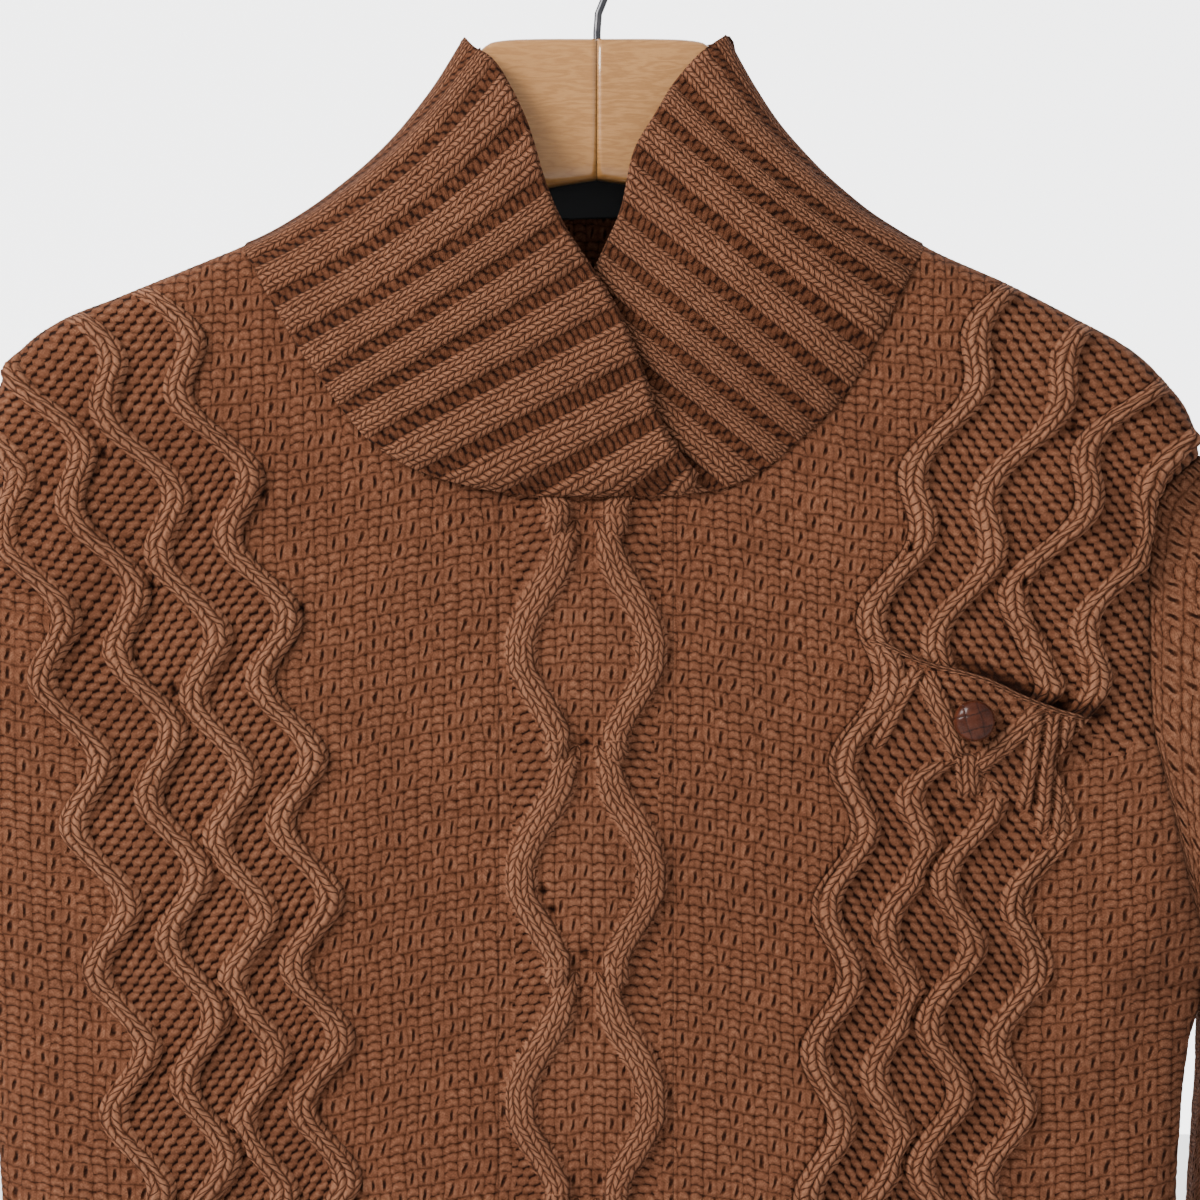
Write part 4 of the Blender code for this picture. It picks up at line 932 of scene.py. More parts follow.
def make_front():
    count = int((HEM_TOP + 98) / -LEVEL)
    levels = HEM_TOP + LEVEL * np.arange(count, -1, -1)
    panel = Panel(levels, front_segments(levels), PITCH, front_top).count()
    panel.cable = (panel.starts[9], panel.starts[10])
    cable_cells(panel)
    grid, out = body_points(panel.x, panel.z, -1)
    height, tone = front_relief(panel)
    top = panel.z[panel.top, np.arange(panel.x.shape[1])]
    height = height * ease(0, 7, top[None, :] - panel.z) * ease(HEM_TOP, HEM_TOP + 8, panel.z)
    cover = pocket_cover(panel.x, panel.z)
    # Painted shadow in the tone's third channel: on the front under the pocket's mouth, and just
    # above its right half where the mouth stands off
    shadow = cover * ease(30, 0, smooth(OPENING[:, 0], OPENING[:, 1], panel.x) - panel.z)
    above = panel.z - smooth(OPENING[:, 0], OPENING[:, 1], panel.x)
    painted_gap_shadow = ease(8, 1, above) * ease(-3, 0, above)
    painted_gap_shadow = painted_gap_shadow * ease(135, 172, panel.x) * ease(216, 206, panel.x)
    tone[..., 2] = np.maximum(tone[..., 2], np.maximum(0.6 * shadow, 0.65 * painted_gap_shadow))
    outer = drape(grid + out * (height - 3.4 * cover)[..., None])
    under = drape(grid - out * (WALL + 2.0 * cover)[..., None])
    u, v, kind = wale_at(panel)
    last = panel.x.shape[0] - 1
    cuts = [0, panel.starts[4], panel.starts[8], panel.starts[9], panel.starts[10]]
    cuts += [panel.starts[11], panel.starts[15], panel.x.shape[1] - 1]
    names = (
        "side_right", "ribs_right", "panel_right", "cable", "panel_left", "ribs_left", "side_left",
    )
    made = []
    width = panel.x.shape[1]
    for name, low, high in zip(names, cuts[:-1], cuts[1:]):
        part = slice(low, high + 1)
        ids = panel.ids[:, part]
        cols = picked(0, high - low, 6)
        rows = picked(0, last, 8)
        cells = panel.cells(slice(low, high))
        made.append(shell("front_" + name, outer, under, ids, u, v, cells, tone, rows, cols, WOOL))
    return panel, made


# -------------------------------------------------------------------- back


def make_back():
    step = COURSE / 2
    count = int((HEM_TOP + 92) / -step)
    levels = HEM_TOP + step * np.arange(count, -1, -1)
    segments = [(side(levels, False), side(levels, True), MOSS, 0)]
    panel = Panel(levels, segments, STITCH / 2, back_top).count()
    grid, out = body_points(panel.x, panel.z, 1)
    u, v, kind = wale_at(panel)
    stitches = stitch_height(kind, u, v)
    height = STITCH_RISE * stitches + 0.3 * uneven(panel.x, panel.z, 11.0, 2.0)
    top = panel.z[panel.top, np.arange(panel.x.shape[1])]
    height = height * ease(0, 7, top[None, :] - panel.z) * ease(HEM_TOP, HEM_TOP + 8, panel.z)
    # Painted light: stitch crests lighter through the tone's first channel
    tone = np.stack([0.3 * stitches, stitches, 0 * stitches], axis=-1)
    outer = drape(grid + out * height[..., None])
    under = drape(grid - out * WALL)
    rows = picked(0, panel.x.shape[0] - 1, 6)
    cols = picked(0, panel.x.shape[1] - 1, 4)
    return shell(
        "back_panel", outer, under, panel.ids, u, v, panel.cells(), tone, rows, cols, WOOL
    )


# -------------------------------------------------------- hems, sleeves, cuffs


def rib_wale(cells):
    """Wale count where each eighth of a rib starts: two knit, then one purl."""
    place = np.arange(cells + 1)
    eighth = place % 8
    return np.where(eighth < 5, eighth * 0.4, 10 + (eighth - 5) / 3) + place // 8 * 20


def rib_cell_wales(cells, rows):
    """Wale counts at the four corners of each ribbing cell."""
    low = rib_wale(cells)[:-1]
    high = low + np.where(np.arange(cells) % 8 < 5, 0.4, 1 / 3)
    corners = np.stack([low, high, high, low], axis=-1)
    return np.repeat(corners[None], rows, axis=0)


def make_hem(name, sign):
    """Two by two ribbing, its ribs even along the cloth."""
    cells = HEM_RIBS * 8
    levels = np.linspace(HEM_TOP, HEM_END, 33)
    rings = []
    for z in levels:
        turn = np.linspace(0, np.pi, 900)
        half = (side(z, True) - side(z, False)) / 2
        middle = (side(z, True) + side(z, False)) / 2
        x = middle - half * np.cos(turn)
        y = sign * np.maximum(depth(x, z + 0 * x), 0.05)
        run = np.concatenate([[0], np.cumsum(np.hypot(np.diff(x), np.diff(y)))])
        at = np.linspace(0, run[-1], cells + 1)
        rings.append(np.stack([np.interp(at, run, x), np.interp(at, run, y), z + 0 * at], axis=1))
    grid = np.array(rings)
    out = grid_normals(grid, np.array([0.0, sign, 0.0]))
    out[:, 0] = (-1, 0, 0)
    out[:, -1] = (1, 0, 0)
    across = np.arange(cells + 1) % 8
    high = np.sin(np.pi * np.clip(across, 0, 5) / 5) ** 0.6
    rise = RIB_RISE * high[None, :] * ease(HEM_TOP, HEM_TOP - 5, levels)[:, None]
    edge = rounded_edge(levels - HEM_END)[:, None]
    height = rise - edge + 0.2 * uneven(grid[..., 0], grid[..., 2], 8.0, 3.0)
    wale = rib_wale(cells)
    u = np.repeat(wale[None, :], len(levels), axis=0)
    v = np.repeat(((HEM_TOP - levels) / COURSE + 400)[:, None], cells + 1, axis=1)
    kind = np.repeat(np.where(across[:-1] < 5, KNIT, PURL)[None, :], len(levels) - 1, axis=0)
    # worn paints the rib crests lighter: partly wear, partly painted light on raised parts
    worn = 0.7 * np.repeat(high[None, :], len(levels), axis=0)
    tone = np.stack([worn, 0.5 + 0 * u, 0 * u], axis=-1)
    under = grid - out * (WALL - edge)[..., None]
    outer = grid + out * height[..., None]
    rows = picked(0, len(levels) - 1, 4)
    cols = picked(0, cells, 8)
    ids = grid_ids(*u.shape)
    cells = rib_cell_wales(cells, len(levels) - 1), corner_values(v), kind
    return shell(name, drape(outer), drape(under), ids, u, v, cells, tone, rows, cols, WOOL)


def sleeve_point(share, turn, left):
    """Outside of a sleeve. turn is 0 at its outer fold and pi at its inner one."""
    sign = 1 if left else -1
    cut = SLEEVE[:, 0]
    outer_x = smooth(cut, SLEEVE[:, 1], share)
    outer_z = smooth(cut, SLEEVE[:, 2], share)
    inner_x = smooth(cut, SLEEVE[:, 3], share)
    inner_z = smooth(cut, SLEEVE[:, 4], share)
    middle_y = smooth(cut, SLEEVE[:, 5], share)
    half = smooth(cut, SLEEVE[:, 6], share)
    if not left:
        middle_y = middle_y * 0.9
        inner_x = inner_x + 6.0 * ease(0.06, 0.4, share)
        outer_x = outer_x + 4.0 * ease(0.02, 0.2, share)
    full = 1 - 0.25 * np.clip(share / 0.2, 0, 1)
    across = np.sign(np.cos(turn)) * np.abs(np.cos(turn)) ** full
    around = np.sign(np.sin(turn)) * np.abs(np.sin(turn)) ** full
    creased = np.clip(np.sin(np.pi * np.clip((share - 0.12) / 0.76, 0, 1)), 0, 1)
    slant = 0.35 if left else -0.3
    start_angle = 0.4 if left else 2.0
    crease = 2.6 * np.sin(2 * np.pi * (4.2 * share + slant * np.cos(turn)) + start_angle)
    small = 0.9 * np.sin(2 * np.pi * (9.5 * share - 0.6 * slant * np.sin(2 * turn)) + 1.1)
    half = half + creased * (crease + small)
    x = (outer_x + inner_x) / 2 + (outer_x - inner_x) / 2 * across
    z = (outer_z + inner_z) / 2 + (outer_z - inner_z) / 2 * across
    y = middle_y - half * around
    arm_z = (ARM_TOP + ARM_END) / 2 + (ARM_TOP - ARM_END) / 2 * np.cos(turn)
    arm_x = sign * side(arm_z, left) + 0.2
    start = smooth(cut[:2], SLEEVE[:2, 1], 0 * share) + 0 * turn
    hold = np.exp(-((share / 0.055) ** 2))
    flat_x = (start + SLEEVE[0, 3]) / 2 + (start - SLEEVE[0, 3]) / 2 * np.cos(turn)
    x = x + (arm_x - flat_x) * hold
    return np.stack(np.broadcast_arrays(sign * x, y, z), axis=-1)


def tube_grid(shares, left, spots):
    """Rings of a sleeve; spots are shares of the way round, from its inner fold."""
    rings, around = [], []
    for share, spot in zip(shares, spots):
        turn = np.linspace(-np.pi, np.pi, 481)
        ring = sleeve_point(np.full(481, share), turn, left)
        run = np.concatenate([[0], np.cumsum(np.linalg.norm(np.diff(ring, axis=0), axis=1))])
        even = np.interp(spot * run[-1], run, turn)
        plain = -np.pi + 2 * np.pi * spot
        turn_at = plain + (even - plain) * ease(0.05, 0.3, share)
        rings.append(sleeve_point(np.full(len(spot), share), turn_at, left))
        around.append(run[-1])
    return np.array(rings), np.array(around)


def ring_normals(grid):
    down = np.gradient(grid, axis=0)
    across = np.empty_like(grid)
    across[:, 1:-1] = grid[:, 2:] - grid[:, :-2]
    across[:, 0] = grid[:, 1] - grid[:, -2]
    across[:, -1] = across[:, 0]
    found = unit(np.cross(down, across))
    away = grid - grid.mean(axis=1, keepdims=True)
    flip = np.sign(np.sum(found * away, axis=2, keepdims=True))
    return found * np.where(flip == 0, 1, flip)


def make_sleeve(name, left):
    rows = 172
    shares = np.concatenate([[0, 0.006], np.linspace(0.013, SLEEVE_END, rows - 2)])
    columns = 240
    spots = np.repeat(np.linspace(0, 1, columns + 1)[None, :], rows, axis=0)
    grid, around = tube_grid(shares, left, spots)
    out = ring_normals(grid)
    out[0] = grid[0] - grid[0].mean(axis=0)
    out[0, :, 0] = 0
    out[0] = unit(out[0])
    # wales run down beside the outer fold and end in the seam at the inner one
    u = (spots - 0.5) * around[:, None] / STITCH + 200
    pieces = np.linalg.norm(np.diff(grid[:, columns // 2], axis=0), axis=1)
    run = np.concatenate([[0], np.cumsum(pieces)])
    v = np.repeat((400 + run / COURSE)[:, None], columns + 1, axis=1)
    kind = np.full((rows - 1, columns), MOSS)
    point_kind = np.full(u.shape, MOSS)
    stitches = stitch_height(point_kind, u, v)
    height = STITCH_RISE * stitches + 0.3 * uneven(u * 3.8, v * 2.8, 10.0, 4.0)
    seam = np.abs(np.linspace(-1, 1, columns + 1))
    height = height - 0.8 * np.exp(-(((1 - seam) / 0.012) ** 2))[None, :]
    fade = ease(0, 0.015, shares) * ease(SLEEVE_END, SLEEVE_END - 0.012, shares)
    height = height * fade[:, None] + 1.0 * np.exp(-(((shares - 0.008) / 0.006) ** 2))[:, None]
    # Painted light: stitch crests lighter through the tone's first channel
    tone = np.stack([0.3 * stitches, stitches, 0 * u], axis=-1)
    ids = grid_ids(rows, columns + 1, closed=True)
    picks_rows = picked(0, rows - 1, 6)
    picks_cols = picked(0, columns, 8)
    outer = drape(grid + out * height[..., None])
    under = drape(grid - out * WALL)
    cells = corner_values(u), corner_values(v), kind
    return shell(name, outer, under, ids, u, v, cells, tone, picks_rows, picks_cols, WOOL)


def make_cuff(name, left):
    rows = 34
    cells = CUFF_RIBS * 8
    shares = np.linspace(SLEEVE_END, 1.0, rows)
    spots = np.repeat(np.linspace(0, 1, cells + 1)[None, :], rows, axis=0)
    grid, around = tube_grid(shares, left, spots)
    out = ring_normals(grid)
    across = np.arange(cells + 1) % 8
    high = np.sin(np.pi * np.clip(across, 0, 5) / 5) ** 0.6
    depth_in = ease(SLEEVE_END, 0.95, shares)[:, None]
    edge = rounded_edge((1.0 - shares) * 66)[:, None]
    height = RIB_RISE * high[None, :] * depth_in - 0.8 * depth_in - edge
    u = np.repeat(rib_wale(cells)[None, :], rows, axis=0)
    v = np.repeat((400 + (shares - SLEEVE_END) * 840 / COURSE)[:, None], cells + 1, axis=1)
    kind = np.repeat(np.where(across[:-1] < 5, KNIT, PURL)[None, :], rows - 1, axis=0)
    # worn paints the rib crests lighter: partly wear, partly painted light on raised parts
    worn = 0.7 * np.repeat(high[None, :], rows, axis=0)
    tone = np.stack([worn, 0.5 + 0 * u, 0 * u], axis=-1)
    outer = drape(grid + out * height[..., None])
    under = drape(grid - out * (WALL - edge)[..., None])
    ids = grid_ids(rows, cells + 1, closed=True)
    lines = picked(0, rows - 1, 5), picked(0, cells, 8)
    cells = rib_cell_wales(cells, rows - 1), corner_values(v), kind
    return shell(name, outer, under, ids, u, v, cells, tone, *lines, WOOL)


# ------------------------------------------------------------------ collar

RIB_ROWS = 93


def even_line(points):
    """The same line with its points evenly spaced."""
    run = np.concatenate([[0], np.cumsum(np.linalg.norm(np.diff(points, axis=0), axis=1))])
    at = np.linspace(0, run[-1], RIB_ROWS)
    return np.stack([np.interp(at, run, points[:, i]) for i in range(3)], axis=1)


def wing_rib(row, lap):
    """Points from the neck seam to the free edge of one wing."""
    seam_x, edge_x, edge_z, edge_y, bow, bulge = row
    seam_z = smooth(NECK[:, 0], NECK[:, 1], seam_x)
    slope = (smooth(NECK[:, 0], NECK[:, 1], seam_x + 2) - seam_z) / 2
    seam_y = -depth(np.array(seam_x), np.array(seam_z)) - lap - 0.6
    start = np.array([seam_x, seam_y, seam_z])
    end = np.array([edge_x, edge_y, edge_z])
    along = end - start
    length = np.linalg.norm(along)
    rising = abs(along[2] - slope * along[0]) / math.hypot(1, slope) / length
    start = start + along / length * COLLAR_START / max(rising, 0.3)
    side_on = np.array([along[2], 0, -along[0]]) / length
    control = (start + end) / 2 + 2 * bow * side_on + np.array([0, -2 * bulge, 0])
    t = np.linspace(0, 1, RIB_ROWS)[:, None]
    sewn = 0.7 * lap * (1 - ease(0, 16 / length, t)) * np.array([0, 1, 0])
    return even_line((1 - t) ** 2 * start + 2 * t * (1 - t) * control + t * t * end + sewn)


def back_rib(share):
    """Points of one rib behind the neck: up, over the roll and down again."""
    seam_x = smooth((0, 0.5, 1), (-143.5, -3.0, 132.5), share)
    seam_z = smooth(BACK_NECK[:, 0], BACK_NECK[:, 1], seam_x)
    tip = min(share, 1 - share)
    seam_y = depth(np.array(seam_x), np.array(seam_z)) * ease(-0.04, 0.05, tip)
    start = np.array([seam_x, seam_y, seam_z])
    roll = np.array([smooth(FOLD[:, 0], FOLD[:, c], share) for c in (1, 2, 3)])
    along = roll - start
    stand = np.linalg.norm(along)
    along = along / stand
    start = start + along * COLLAR_START
    outward = np.array([0.0, 1.0, 0.0]) - along * along[1]
    outward = unit(outward - along * np.dot(outward, along))
    near_tip = 1 - ease(0.0, 0.24, tip)
    total = max(COLLAR_DEPTH, stand + 0.8)
    radius = 1.2 + (ROLL_RADIUS - 1.2) * ease(0, 0.2, tip)
    down = unit(np.array([0.0, 0.0, -1.0]) - along)
    bow = np.array([0.72 * np.sign(0.5 - share), 0, -0.69]) * 38 * near_tip
    s = np.linspace(0, total, 160)[:, None]
    t = np.clip(s / stand, 0, 1)
    rising = start + along * (np.minimum(s, stand) - COLLAR_START * t) + bow * t * (1 - t)
    angle = np.clip((s - stand) / radius, 0, np.pi)
    turned = along * np.sin(angle) + outward * (1 - np.cos(angle))
    fall = np.maximum(s - stand - np.pi * radius, 0)
    over = roll + turned * radius + down * fall + outward * 0.05 * fall
    return even_line(np.where(s <= stand, rising, over))


def collar_stations():
    numbers, ribs = [], []
    for i, row in enumerate(UPPER_WING):
        numbers.append(max(i - 1, -0.5))
        ribs.append(wing_rib(row, COLLAR_LAP * ease(-145, -95, row[0])))
    first = numbers[-1]
    for i in range(BACK_RIBS):
        numbers.append(first + 1 + i)
        ribs.append(back_rib(i / (BACK_RIBS - 1)))
    first = numbers[-1]
    for i, row in enumerate(LOWER_WING):
        numbers.append(first + 1 + i)
        ribs.append(wing_rib(row, 0.0))
    numbers[-1] -= 0.5
    return np.array(numbers), np.array(ribs)


def rib_at(numbers, ribs, at):
    """Points of the rib at a given number, smooth through the stations."""
    first = numbers[len(UPPER_WING)]
    if first <= at <= first + BACK_RIBS - 1:
        return back_rib((at - first) / (BACK_RIBS - 1))
    i = int(np.clip(np.searchsorted(numbers, at, side="right") - 1, 0, len(numbers) - 2))
    t = (at - numbers[i]) / (numbers[i + 1] - numbers[i])
    low = ribs[max(i - 1, 0)]
    high = ribs[min(i + 2, len(ribs) - 1)]
    a, b = ribs[i], ribs[i + 1]
    slope_a = (b - low) / 2
    slope_b = (high - a) / 2
    return (
        a * (1 + 2 * t) * (1 - t) ** 2
        + slope_a * t * (1 - t) ** 2
        + b * t * t * (3 - 2 * t)
        + slope_b * t * t * (t - 1)
    )


def blurred(vectors, times):
    """Unit vectors averaged with their neighbours, for cloth that bends sharply."""
    for _ in range(times):
        padded = np.pad(vectors, ((1, 1), (1, 1), (0, 0)), mode="edge")
        around = padded[:-2, 1:-1] + padded[2:, 1:-1] + padded[1:-1, :-2] + padded[1:-1, 2:]
        vectors = unit(vectors + 0.5 * around)
    return vectors


def settled(points, share, times):
    """Points moved towards their neighbours by a share, which rounds off creases."""
    for _ in range(times):
        padded = np.pad(points, ((1, 1), (1, 1), (0, 0)), mode="edge")
        around = padded[:-2, 1:-1] + padded[2:, 1:-1] + padded[1:-1, :-2] + padded[1:-1, 2:]
        points = points + share * (around / 4 - points)
    return points


def make_collar():
    """Ribbed shawl collar: four knit wales, then a ladder of purl."""
    numbers, ribs = collar_stations()
    lines = []  # rib number, wale count and weave of the cell after it
    for whole in range(-1, int(numbers[-1]) + 1):
        for i in range(4):
            lines.append((whole - LADDER + 2 * LADDER * i / 4, i / 4, PURL))
        for i in range(15):
            share = LADDER + (1 - 2 * LADDER) * i / 15
            lines.append((whole + share, 10 + i / 5, KNIT))
    lines = [line for line in lines if numbers[0] <= line[0] < numbers[-1]]
    lines.append((numbers[-1], 14.0, KNIT))
    at = np.array([line[0] for line in lines])
    grid = np.array([rib_at(numbers, ribs, number) for number in at]).transpose(1, 0, 2)
    out = unit(np.cross(np.gradient(grid, axis=0), np.gradient(grid, axis=1)))
    if out[RIB_ROWS // 2, 100, 1] > 0:
        out = -out
    out = blurred(out, 10)
    share = np.mod(at, 1.0)
    crest = np.sin(np.pi * np.clip((share - LADDER) / (1 - 2 * LADDER), 0, 1)) ** 0.5
    tips = numbers[len(UPPER_WING)], numbers[len(UPPER_WING)] + BACK_RIBS - 1
    flat = np.exp(-((at - tips[0]) ** 2)) + np.exp(-((at - tips[1]) ** 2))
    crest = crest * (1 - 0.8 * np.minimum(flat, 1))
    near = [np.exp(-(((at - tip) / 1.2) ** 2)) for tip in tips]
    calm = 1 - 0.85 * (near[0] + near[1])
    pieces = np.linalg.norm(np.diff(grid, axis=0), axis=2)
    run = np.concatenate([np.zeros((1, len(at))), np.cumsum(pieces, axis=0)])
    from_edge = run[-1:] - run
    wale = np.array([line[1] for line in lines])
    kind = np.array([line[2] for line in lines])
    u = np.repeat(wale[None, :], RIB_ROWS, axis=0)
    v = (COLLAR_DEPTH + 40 - from_edge) / COLLAR_COURSE
    stitches = stitch_height(np.repeat(kind[None, :], RIB_ROWS, axis=0), u, v)
    near_seam = ease(0, 5, run)
    hem = ease(1.2, 3.6, from_edge)
    bead = 1.1 * np.exp(-(((from_edge - 2.2) / 1.4) ** 2))
    height = (RIB_RISE * crest[None, :] + 1.1 * STITCH_RISE * stitches) * near_seam * hem * calm
    height = height + 1.3 * (1 - near_seam)
    height = height + bead * calm + 0.3 * uneven(grid[..., 0], grid[..., 2], 12.0, 5.0)
    ends = np.minimum(at - at[0], at[-1] - at)[None, :] * 12
    edge = np.maximum(rounded_edge(from_edge), rounded_edge(ends))
    near_tip = (1 - calm)[None, :, None]
    outer = drape(settled(grid + out * (height - edge)[..., None], near_tip, 24))
    under = drape(settled(grid - out * (WALL - edge)[..., None], near_tip, 24))
    # Rib crests painted lighter (partly wear, partly painted light on raised parts); the recessed
    # purl ladders painted darker as painted shade
    worn = np.repeat(0.8 * crest[None, :], RIB_ROWS, axis=0)
    painted_shade = np.repeat(np.where(kind == PURL, 0.20, 0.0)[None, :], RIB_ROWS, axis=0)
    tone = np.stack([worn, stitches, painted_shade], axis=-1)
    cell_low = u[:-1, :-1]
    next_wale = wale[:-1] + np.where(kind[:-1] == PURL, 0.25, 0.2)
    cell_high = np.repeat(next_wale[None, :], RIB_ROWS - 1, axis=0)
    cell_u = np.stack([cell_low, cell_high, cell_high, cell_low], axis=-1)
    cell_v = corner_values(v)
    cell_kind = np.repeat(kind[None, :-1], RIB_ROWS - 1, axis=0)
    starts = [0] + [int(np.searchsorted(at, tip)) for tip in (tips[0], tips[1])] + [len(at) - 1]
    made = []
    for name, low, high in zip(("wing_right", "neck", "wing_left"), starts[:-1], starts[1:]):
        part = slice(low, high + 1)
        cells = slice(low, high)
        made.append(shell(
            "collar_" + name, outer[:, part], under[:, part], grid_ids(RIB_ROWS, high + 1 - low),
            u[:, part], v[:, part], (cell_u[:, cells], cell_v[:, cells], cell_kind[:, cells]),
            tone[:, part], picked(0, RIB_ROWS - 1, 6), picked(0, high - low, 5), WOOL,
        ))
    return made


# ------------------------------------------------------------------ pocket


def make_pocket(front):
    """The pocket's cloth carries on the front's stitches; its mouth stands off."""
    first, last = front.starts[11], front.starts[18]
    part = slice(first, last + 1)
    lowest = int(np.argmax(front.levels < POCKET_END)) + 1
    rows = slice(int(np.argmax(front.levels < -312)), lowest)
    pocket = Panel.__new__(Panel)
    pocket.cable = None
    pocket.home = np.clip(front.home[rows, part] - first, 0, last - first)
    pocket.x = front.x[rows, part].copy()
    pocket.z = front.z[rows, part].copy()
    pocket.rules = front.rules[first:last]
    pocket.cut(lambda x: smooth(OPENING[:, 0], OPENING[:, 1], x))
    pocket.count()
    x, z = pocket.x, pocket.z
    fade = np.ones(x.shape)
    for name, start in zip("FGH", (14, 16, 18)):
        columns = slice(front.starts[start - 1] - first, front.starts[start] - first)
        if name == "H":
            columns = slice(front.starts[17] - first, x.shape[1])
        top = POCKET_RIB_TOPS[name]
        fade[:, columns] = ease(top + 5, top - 5, z[:, columns])
    relief, tone = front_relief(pocket, fade)
    pocket_cells(pocket, fade)
    below = smooth(OPENING[:, 0], OPENING[:, 1], x) - z
    band = ease(POCKET_BAND + 1.5, POCKET_BAND - 0.5, below)
    bead = 1.2 * np.sqrt(np.clip(1 - ((below - 1.3) / 1.6) ** 2, 0, 1))
    left = rib_x("E", z) - STRAND_FOOT
    right = rib_x("H", z) + STRAND_FOOT
    edge = ease(0, 9, x - left) * ease(0, 9, right - x) * ease(POCKET_END, POCKET_END + 30, z)
    mouth = np.sin(np.pi * np.clip((x - 108) / 108, 0, 1)) ** 0.7
    stand = -2.6 + 2.9 * edge + POCKET_MOUTH * ease(48, 2, below) * (0.3 + 0.7 * mouth)
    grid, out = body_points(x, z, -1)
    outer = drape(grid + out * (stand + relief * (1 - band) + band * bead)[..., None])
    under = drape(grid + out * (stand - 1.3)[..., None])
    u, v, kind = wale_at(pocket)
    corner_below = smooth(OPENING[:, 0], OPENING[:, 1], pocket.corner_x) - pocket.corner_z
    in_band = corner_below.mean(axis=-1) < POCKET_BAND
    pocket.cell_kind = np.where(in_band, KNIT, pocket.cell_kind)
    pocket.cell_u = np.where(in_band[..., None], corner_below / POCKET_BAND, pocket.cell_u)
    pocket.cell_v = np.where(in_band[..., None], pocket.corner_x / COURSE, pocket.cell_v)
    rows = picked(0, x.shape[0] - 1, 6)
    cols = picked(0, x.shape[1] - 1, 6)
    return shell(
        "pocket_patch", outer, under, pocket.ids, u, v, pocket.cells(), tone, rows, cols, WOOL
    )


def make_button():
    """Domed button plaited from leather strips."""
    rings, spokes = 40, 96
    s = np.linspace(0, 1, rings)[:, None]
    turn = np.linspace(0, 2 * np.pi, spokes + 1)[None, :]
    radius = BUTTON_RADIUS * np.sin(np.pi / 2 * s) ** 0.9
    dome = 5.2 * np.cos(np.pi / 2 * s) ** 0.8
    a = radius * np.cos(turn)
    b = radius * np.sin(turn)
    # two layers of strips over and under each other, four across
    p = (a * 0.97 + b * 0.26) / (BUTTON_RADIUS * 0.72) + 0.5
    q = (b * 0.97 - a * 0.26) / (BUTTON_RADIUS * 0.72) + 0.5
    parity = (np.floor(p) + np.floor(q)) % 2
    along_p = np.abs(np.sin(np.pi * p)) ** 0.16
    along_q = np.abs(np.sin(np.pi * q)) ** 0.16
    first = along_p * (0.75 + 0.25 * along_q)
    second = along_q * (0.75 + 0.25 * along_p)
    over = np.where(parity > 0.5, first, second)
    height = dome + 0.9 * over * ease(0, 0.25, 1.02 - s)
    top = np.stack([a, height + 0 * a, b], axis=-1)
    low = np.stack([a * 0.93, np.full(a.shape, -0.2), b * 0.93], axis=-1)[-1:]
    grid = np.concatenate([top, low], axis=0)
    ids = np.arange(grid.shape[0] * grid.shape[1]).reshape(grid.shape[:2])
    ids[:, -1] = ids[:, 0]
    ids[0, :] = 0
    faces = cells_of(ids)[0]
    centre = len(grid.reshape(-1, 3))
    ring = ids[-1]
    cap = np.stack([ring[:-1], ring[1:], np.full(spokes, centre)], axis=1)
    points = np.concatenate([grid.reshape(-1, 3), [[0, -0.2, 0]]])
    # Painted shade: the grooves between the strips, the rim and the underside are painted
    # near-black through the tone
    groove = np.concatenate([(1 - over).ravel(), np.ones(spokes + 1), [1.0]])
    faces = np.concatenate([faces, cap])
    faces = faces[real_faces(faces)]
    tone = np.stack([groove, groove, groove], axis=1)
    uv = points[faces][..., [0, 2]] / 10
    x, z = BUTTON_AT
    off = 0.8 + POCKET_MOUTH * 0.6 + WALL + 3.0
    place = drape(np.array([[x, -float(depth(np.array(x), np.array(z))) - off, z]]))[0]
    tilt, spin = math.radians(2), math.radians(-4)
    turned = points.copy()
    turned[:, 1] = -points[:, 1]
    cosine, sine = math.cos(tilt), math.sin(tilt)
    y = turned[:, 1] * cosine - turned[:, 2] * sine
    h = turned[:, 1] * sine + turned[:, 2] * cosine
    turned = np.stack([turned[:, 0], y, h], axis=1)
    cosine, sine = math.cos(spin), math.sin(spin)
    turned = np.stack([
        turned[:, 0] * cosine - turned[:, 1] * sine,
        turned[:, 0] * sine + turned[:, 1] * cosine, turned[:, 2],
    ], axis=1)
    weave = np.zeros(len(faces), int)
    return make_mesh("button_plaited", turned + place, faces, uv, weave, tone, LEATHER)


def make_label():
    """Bare woven label inside the back neck."""
    x = np.repeat(np.linspace(-30, 28, 59)[None, :], 23, axis=0)
    z = np.linspace(-118.5, -139.5, 23)[:, None] + 0.03 * (x + 1)
    y = depth(x, z) - WALL - 1.0 + 0.25 * np.sin(x / 9) * np.sin(z / 7)
    grid = np.stack([x, y, z], axis=2)
    outer = drape(grid + np.array([0, -0.8, 0]))
    under = drape(grid)
    kind = np.zeros((22, 58), int)
    tone = np.zeros((23, 59, 3))
    rows = picked(0, 22, 4)
    cols = picked(0, 58, 6)
    cells = corner_values(x), corner_values(z), kind
    ids = grid_ids(*x.shape)
    return shell("label_woven", outer, under, ids, x, z, cells, tone, rows, cols, LABEL)


# ------------------------------------------------------------------ hanger


